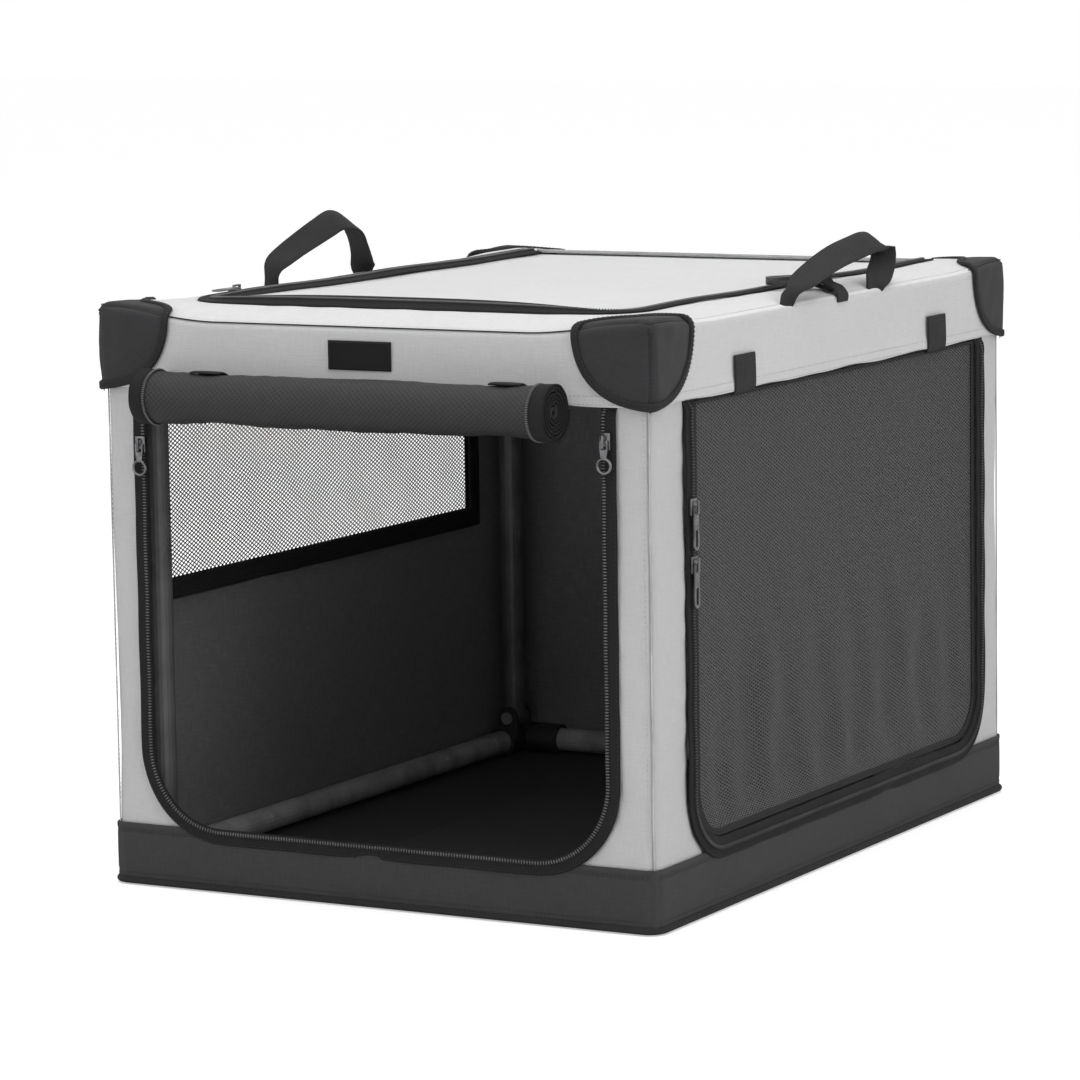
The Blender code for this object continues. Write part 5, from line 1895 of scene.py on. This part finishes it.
@dataclass
class UpstandingZip:
    """A zip round a doorway: its tape, the coil's teeth and two rows of stitches."""

    door: Doorway
    node: str
    body: str
    fold: Fold
    coil: float
    inner: float
    shut: bool
    proud: float = -0.0007

    def build(self) -> None:
        """Makes the tape, the coil and the stitches."""
        near = (self.coil + step for step in (-0.0026, -0.0012, 0.0012, 0.0026))
        grows = sorted((self.inner, self.inner + 0.0006, *near, 0.0125, 0.0140, 0.0145))
        rows = []
        for grow in grows:
            edge = 0.0009 * (grow in (grows[0], grows[-1]))
            rows.append(self._line(grow, self.proud - 0.0007 * bump(grow - self.coil, 0.002) + edge))
        width, finish = (0.0042, Finish.PLASTIC) if self.shut else (0.0036, Finish.COIL)
        teeth = (self._line(self.coil, self.proud - 0.0009), width, finish)
        seams = [self._line(0.0130, self.proud - 0.0002)]
        sew_zip(self.door.name, self.node, rows, teeth, seams, self.door.face.out, self.body, self.fold)

    def _line(self, grow: float, depth: float) -> np.ndarray:
        """A line along the zip, whose legs pass in under the skirt's hem.

        Args:
            grow: How much larger than the doorway's inner edge it is.
            depth: Distance inwards of the skin.

        Returns:
            The points.
        """
        line = self.door.line(grow, 90, top=0.3765)
        tucked = between(depth, 0.0018, soft_step(line[:, 1], 0.3655, 0.3712))
        wobble = 0.0003 * np.sin(lengths(line) * 90)
        return self.door.face.lay(line, tucked + wobble * (line[:, 1] < 0.36))


@dataclass
class RoofZip:
    """The roof door's zip, which stands up in an arch at the front."""

    coil: float = 0.0030
    profile: tuple[tuple[float, float], ...] = (
        (-0.0060, 0.0), (-0.0055, 0.0009), (-0.0020, 0.0013), (0.0004, 0.0013), (0.0018, 0.0020),
        (0.0042, 0.0020), (0.0056, 0.0013), (0.0110, 0.0010), (0.0125, 0.0008), (0.0130, 0.0),
    )

    def build(self) -> None:
        """Makes the tape, the coil and the stitches."""
        rows = [self._line(grow, lift) for grow, lift in self.profile]
        teeth = (self._line(self.coil, 0.0022), 0.0044, Finish.COIL)
        seams = [self._line(grow, 0.0011) for grow in (-0.0042, 0.0112)]
        sew_zip("roof", "top_zip", rows, teeth, seams, UP, "top")

    def _line(self, grow: float, lift: float) -> np.ndarray:
        """A line along the zip, by how much larger than the door and how high over the roof it is."""
        return ROOF_LINE.open_line(grow, 90) + lift * UP


@dataclass
class MeshDoor:
    """The side door: a slack net in a dark binding, sewn along its top."""

    door: Doorway = SIDE_DOORWAY
    border: float = 0.0068
    depth: float = 0.0026
    gap: float = 0.002
    top: float = 0.3705

    def _slack(self, flat: np.ndarray) -> np.ndarray:
        """How far the net hangs in, most in its lower part."""
        a, z = flat[..., 0], flat[..., 1]
        low = 1 - soft_step(z, 0.07, 0.27)
        edge = soft_step(z, 0.054, 0.085) * soft_step(self.door.half - np.abs(a - self.door.centre), 0.0, 0.05)
        folds = np.sin((a + 0.35 * z) * 105 + 1.3 * np.sin(z * 26)) * 0.0016 + waves(a, z * 0.35, 0.034, 77) * 0.0008
        drops = waves(a, z * 0.3, 0.15, 75) * 0.0009
        return self.depth + edge * ((0.0011 + folds) * low + 0.0009 + drops * (0.4 + low))

    def _net(self) -> bpy.types.Object:
        """The net, with its two round lower corners.

        Returns:
            The net.
        """
        low, radius = self.door.foot + self.gap, self.door.corner - self.gap
        heights = np.concatenate([low + 0.04 * np.linspace(0, 1, 18) ** 1.5, np.linspace(low + 0.044, self.top, 56)])
        rise = np.clip(radius - (heights - low), 0, radius)
        inset = radius - np.sqrt(radius ** 2 - rise ** 2)
        span = (self.door.half - self.gap - inset)[:, None] * np.linspace(-1, 1, 120)
        flat = stacked(self.door.centre + span, heights[:, None])
        return thick(grid("side_door_net", self.door.face.lay(flat, self._slack(flat)), Finish.NET), NET_CLOTH)

    def _binding(self) -> bpy.types.Object:
        """The tape round its free edge.

        Returns:
            The tape.
        """
        inner, outer = (self.door.line(-inset, 60, top=self.top)[None] for inset in (self.border, 0.0015))
        share = np.array([0, 0.04, 0.2, 0.5, 0.8, 0.96, 1.0])[:, None, None]
        flat = between(inner, outer, share)
        rim = 0.0006 * (np.abs(share[..., 0] - 0.5) > 0.49)
        rows = self.door.face.lay(flat, self._slack(flat) - 0.0009 + rim)
        return thick(grid("side_door_binding", rows, Finish.BINDING, turned=True), 0.0017)

    def _header(self) -> bpy.types.Object:
        """The tape along its sewn top.

        Returns:
            The tape.
        """
        run = self.door.centre + (self.door.half - self.gap) * np.linspace(-1, 1, 60)
        level = np.array([0.3684, 0.3687, 0.3694, 0.3700, 0.3706])[:, None]
        return thick(grid("side_door_header", self.door.face.place(run, level, 0.0016), Finish.BINDING), 0.0016)

    def build(self) -> None:
        """Makes the net, both tapes and the stitches."""
        net, tapes = self._net(), (self._binding(), self._header())
        for tape in tapes:
            settle(tape, "side_door", fold=ON_HEM)
        wide = 2 * self.door.half
        cut = wide * (self.top - self.door.foot - self.gap), wide
        settle(net, "side_door", ["side_door"], ON_HEM, cut)
        lines = []
        for inset in (0.0026, self.border - 0.0012):
            line = self.door.line(-inset, 60, top=0.3680)
            lines.append((self.door.face.lay(line, self._slack(line) - 0.0010), self.door.face.out))
        beads("side_door_stitches", lines, ZIP_STITCH, Finish.THREAD, "side_door", ON_HEM)


def bent_outs(path: np.ndarray) -> np.ndarray:
    """The directions out of a band that bends about the Y axis, which starts on the right."""
    outs = unit(np.cross((0, 1.0, 0), np.gradient(path, axis=0)))
    return outs * np.sign(outs[0, 0])


@dataclass
class SkirtTrims:
    """The bare label on the front skirt and the two webbing tabs over the side door."""

    label_x: float = -0.005
    label_width: float = 0.052
    label_height: float = 0.021
    label_middle: float = 0.4012
    tabs: tuple[float, float] = (-0.1629, 0.1714)

    def build(self) -> None:
        """Makes all three."""
        self._label()
        for name, place in zip(("front", "back"), self.tabs):
            self._tab(name, place)

    def _label(self) -> None:
        """The label: a woven patch with a folded rim and a stitched border."""
        half, tall, inset = self.label_width / 2, self.label_height / 2, 0.0013
        across, up = np.meshgrid(np.linspace(-half, half, 24), np.linspace(-tall, tall, 14))
        rim = np.minimum(half - np.abs(across), tall - np.abs(up))
        depth = -0.0012 - 0.0005 * soft_step(rim, 0, 0.0012) + 0.0003 * soft_step(rim, 0.002, 0.0035)
        rows = Face.FRONT.place(self.label_x + across, self.label_middle + up, depth)
        settle(thick(grid("bare_label", rows, Finish.LABEL), 0.001), "top", ["blank_label"])
        border = looped(rectangle(half - inset, inset - tall, tall - inset, 17)) + (self.label_x, self.label_middle)
        line = (Face.FRONT.lay(border, -0.0018), Face.FRONT.out)
        beads("label_stitches", [line], LABEL_STITCH, Finish.THREAD, "top")

    def _tab(self, name: str, place: float) -> None:
        """A webbing tab folded round the hem.

        Args:
            name: Which one.
            place: Its middle along the side.
        """
        heights = np.array([0.3972, 0.3960, 0.3900, 0.3830, 0.3760, 0.3718, 0.3705, 0.3712, 0.3760])
        depths = np.array([-0.0004, -0.0008, -0.0010, -0.0012, -0.0012, -0.0006, 0.0006, 0.0014, 0.0016])
        path = smooth_path(Face.RIGHT.place(place, heights, depths), 30)
        profile = flat_profile(0.033, 0.0014, low=0.0002)
        tab = swept(f"door_tab_{name}_webbing", path, bent_outs(path), profile, Finish.WEBBING)
        settle(tab, "top", [f"door_tab_{name}"])
        run = place + np.linspace(-0.0140, 0.0140, 12)
        lines = [(Face.RIGHT.place(run, height, -0.0025), Face.RIGHT.out) for height in (0.3935, 0.3790)]
        beads(f"door_tab_{name}_stitches", lines, TAB_STITCH, Finish.THREAD, "top")


@dataclass
class ClipTab:
    """The webbing tab at the roof's right edge and the wire ring that it holds."""

    place: float = 0.004
    ring: tuple[float, float, float] = (0.2115, 0.004, 0.43855)
    ring_radius: float = 0.005
    wire: float = 0.0011
    course: tuple[tuple[float, float], ...] = (
        (0.2280, 0.4215), (0.2284, 0.4265), (0.2240, 0.4318), (0.2170, 0.4345), (0.2128, 0.4400),
        (0.2098, 0.4395), (0.2095, 0.4345), (0.2140, 0.4326), (0.2215, 0.4300),
    )

    def build(self) -> None:
        """Makes the tab, its stitches and the ring."""
        x, z = np.transpose(self.course)
        path = smooth_path(stacked(x, self.place, z), 60)
        tab = swept("clip_tab_webbing", path, bent_outs(path), flat_profile(0.018, 0.0013), Finish.WEBBING)
        settle(tab, "top", ["clip_tab"])
        turn = np.linspace(0, math.tau, 33)[:-1]
        outs = stacked(0, np.cos(turn), np.sin(turn))
        loop = np.array(self.ring) + self.ring_radius * outs
        ring = swept("clip_ring", loop, outs, round_profile(self.wire), Finish.GUNMETAL, closed=True)
        settle(ring, "top")
        line = (stacked(0.2196, self.place + np.linspace(-0.0075, 0.0075, 7), 0.4350), np.array([0.3, 0, 1.0]))
        beads("clip_tab_stitches", [line], CLIP_STITCH, Finish.THREAD, "top")


@dataclass
class Hardware:
    """The hard parts: cast sliders, pulls and the snap clip with softened edges, tubes and joints as they are."""

    zips: tuple[str, ...] = ("front_left", "front_right", "side_upper", "side_lower", "roof")
    rounding: tuple[tuple[str, float], ...] = (("slider", 0.00035), ("pull", 0.00022))
    kept: tuple[tuple[str, Finish], ...] = (
        ("base_tube", Finish.TUBE), ("roof_tube", Finish.TUBE), ("post_", Finish.POST), ("pivot_pin", Finish.STEEL),
        ("base_bracket", Finish.PLASTIC), ("top_joint", Finish.PLASTIC),
    )

    def build(self, nodes: dict[str, bpy.types.Object]) -> None:
        """Softens the small parts and paints the rest.

        Args:
            nodes: The frame's nodes by name.
        """
        for part, width in self.rounding:
            for name in self.zips:
                self._soften(nodes[f"zip_{part}_{name}"], f"{part}_{name}", Finish.GUNMETAL, width)
        self._soften(nodes["safety_clip"], "clip", Finish.CLIP, 0.0011)
        for prefix, finish in self.kept:
            for name, obj in nodes.items():
                if name.startswith(prefix):
                    for place in obj.material_slots:
                        place.material = finish.get()
                    LOG.info("%s is painted %s", name, finish.value.name)
    def _soften(self, source: bpy.types.Object, body: str, finish: Finish, width: float) -> None:
        """A copy of a hard part with rounded edges.

        Args:
            source: The node.
            body: The body that carries it.
            finish: Its finish.
            width: The rounding's width.
        """
        mesh = source.data.copy()
        mesh.name = f"{source.name}_finished"
        mesh.materials.clear()
        mesh.materials.append(finish.get())
        obj = tidy_mesh(placed(mesh.name, mesh), closed=True, merge=1e-5)
        with edited(mesh) as work:
            bmesh.ops.dissolve_limit(work, angle_limit=math.radians(2), verts=work.verts, edges=work.edges)
        round_edges = obj.modifiers.new("round", "BEVEL")
        round_edges.width = width
        round_edges.segments = 2
        round_edges.limit_method = "ANGLE"
        round_edges.angle_limit = math.radians(35)
        plain(obj)
        obj.data.polygons.foreach_set("use_smooth", [True] * len(obj.data.polygons))
        settle(obj, body, [source.name])


def main() -> None:
    """Builds every sub-assembly in order."""
    logging.basicConfig(level=logging.INFO, format="%(message)s")
    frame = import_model()
    parts = (
        Studio(), Walls(), Base(), TopCover(), RoofDoor(), CornerPatches(), Handles(), RolledDoor(),
        UpstandingZip(FRONT_DOORWAY, "front_zip", "base", ON_BASE, 0.0052, 0.0026, False),
        UpstandingZip(SIDE_DOORWAY, "side_zip", "right_wall", ON_RIGHT_WALL, 0.0065, -0.0015, True),
        RoofZip(), MeshDoor(), Window(), SkirtTrims(), ClipTab(),
    )
    for part in parts:
        LOG.info("making %s", type(part).__name__)
        part.build()
    Hardware().build(frame["nodes"])


if __name__ == "__main__":
    main()
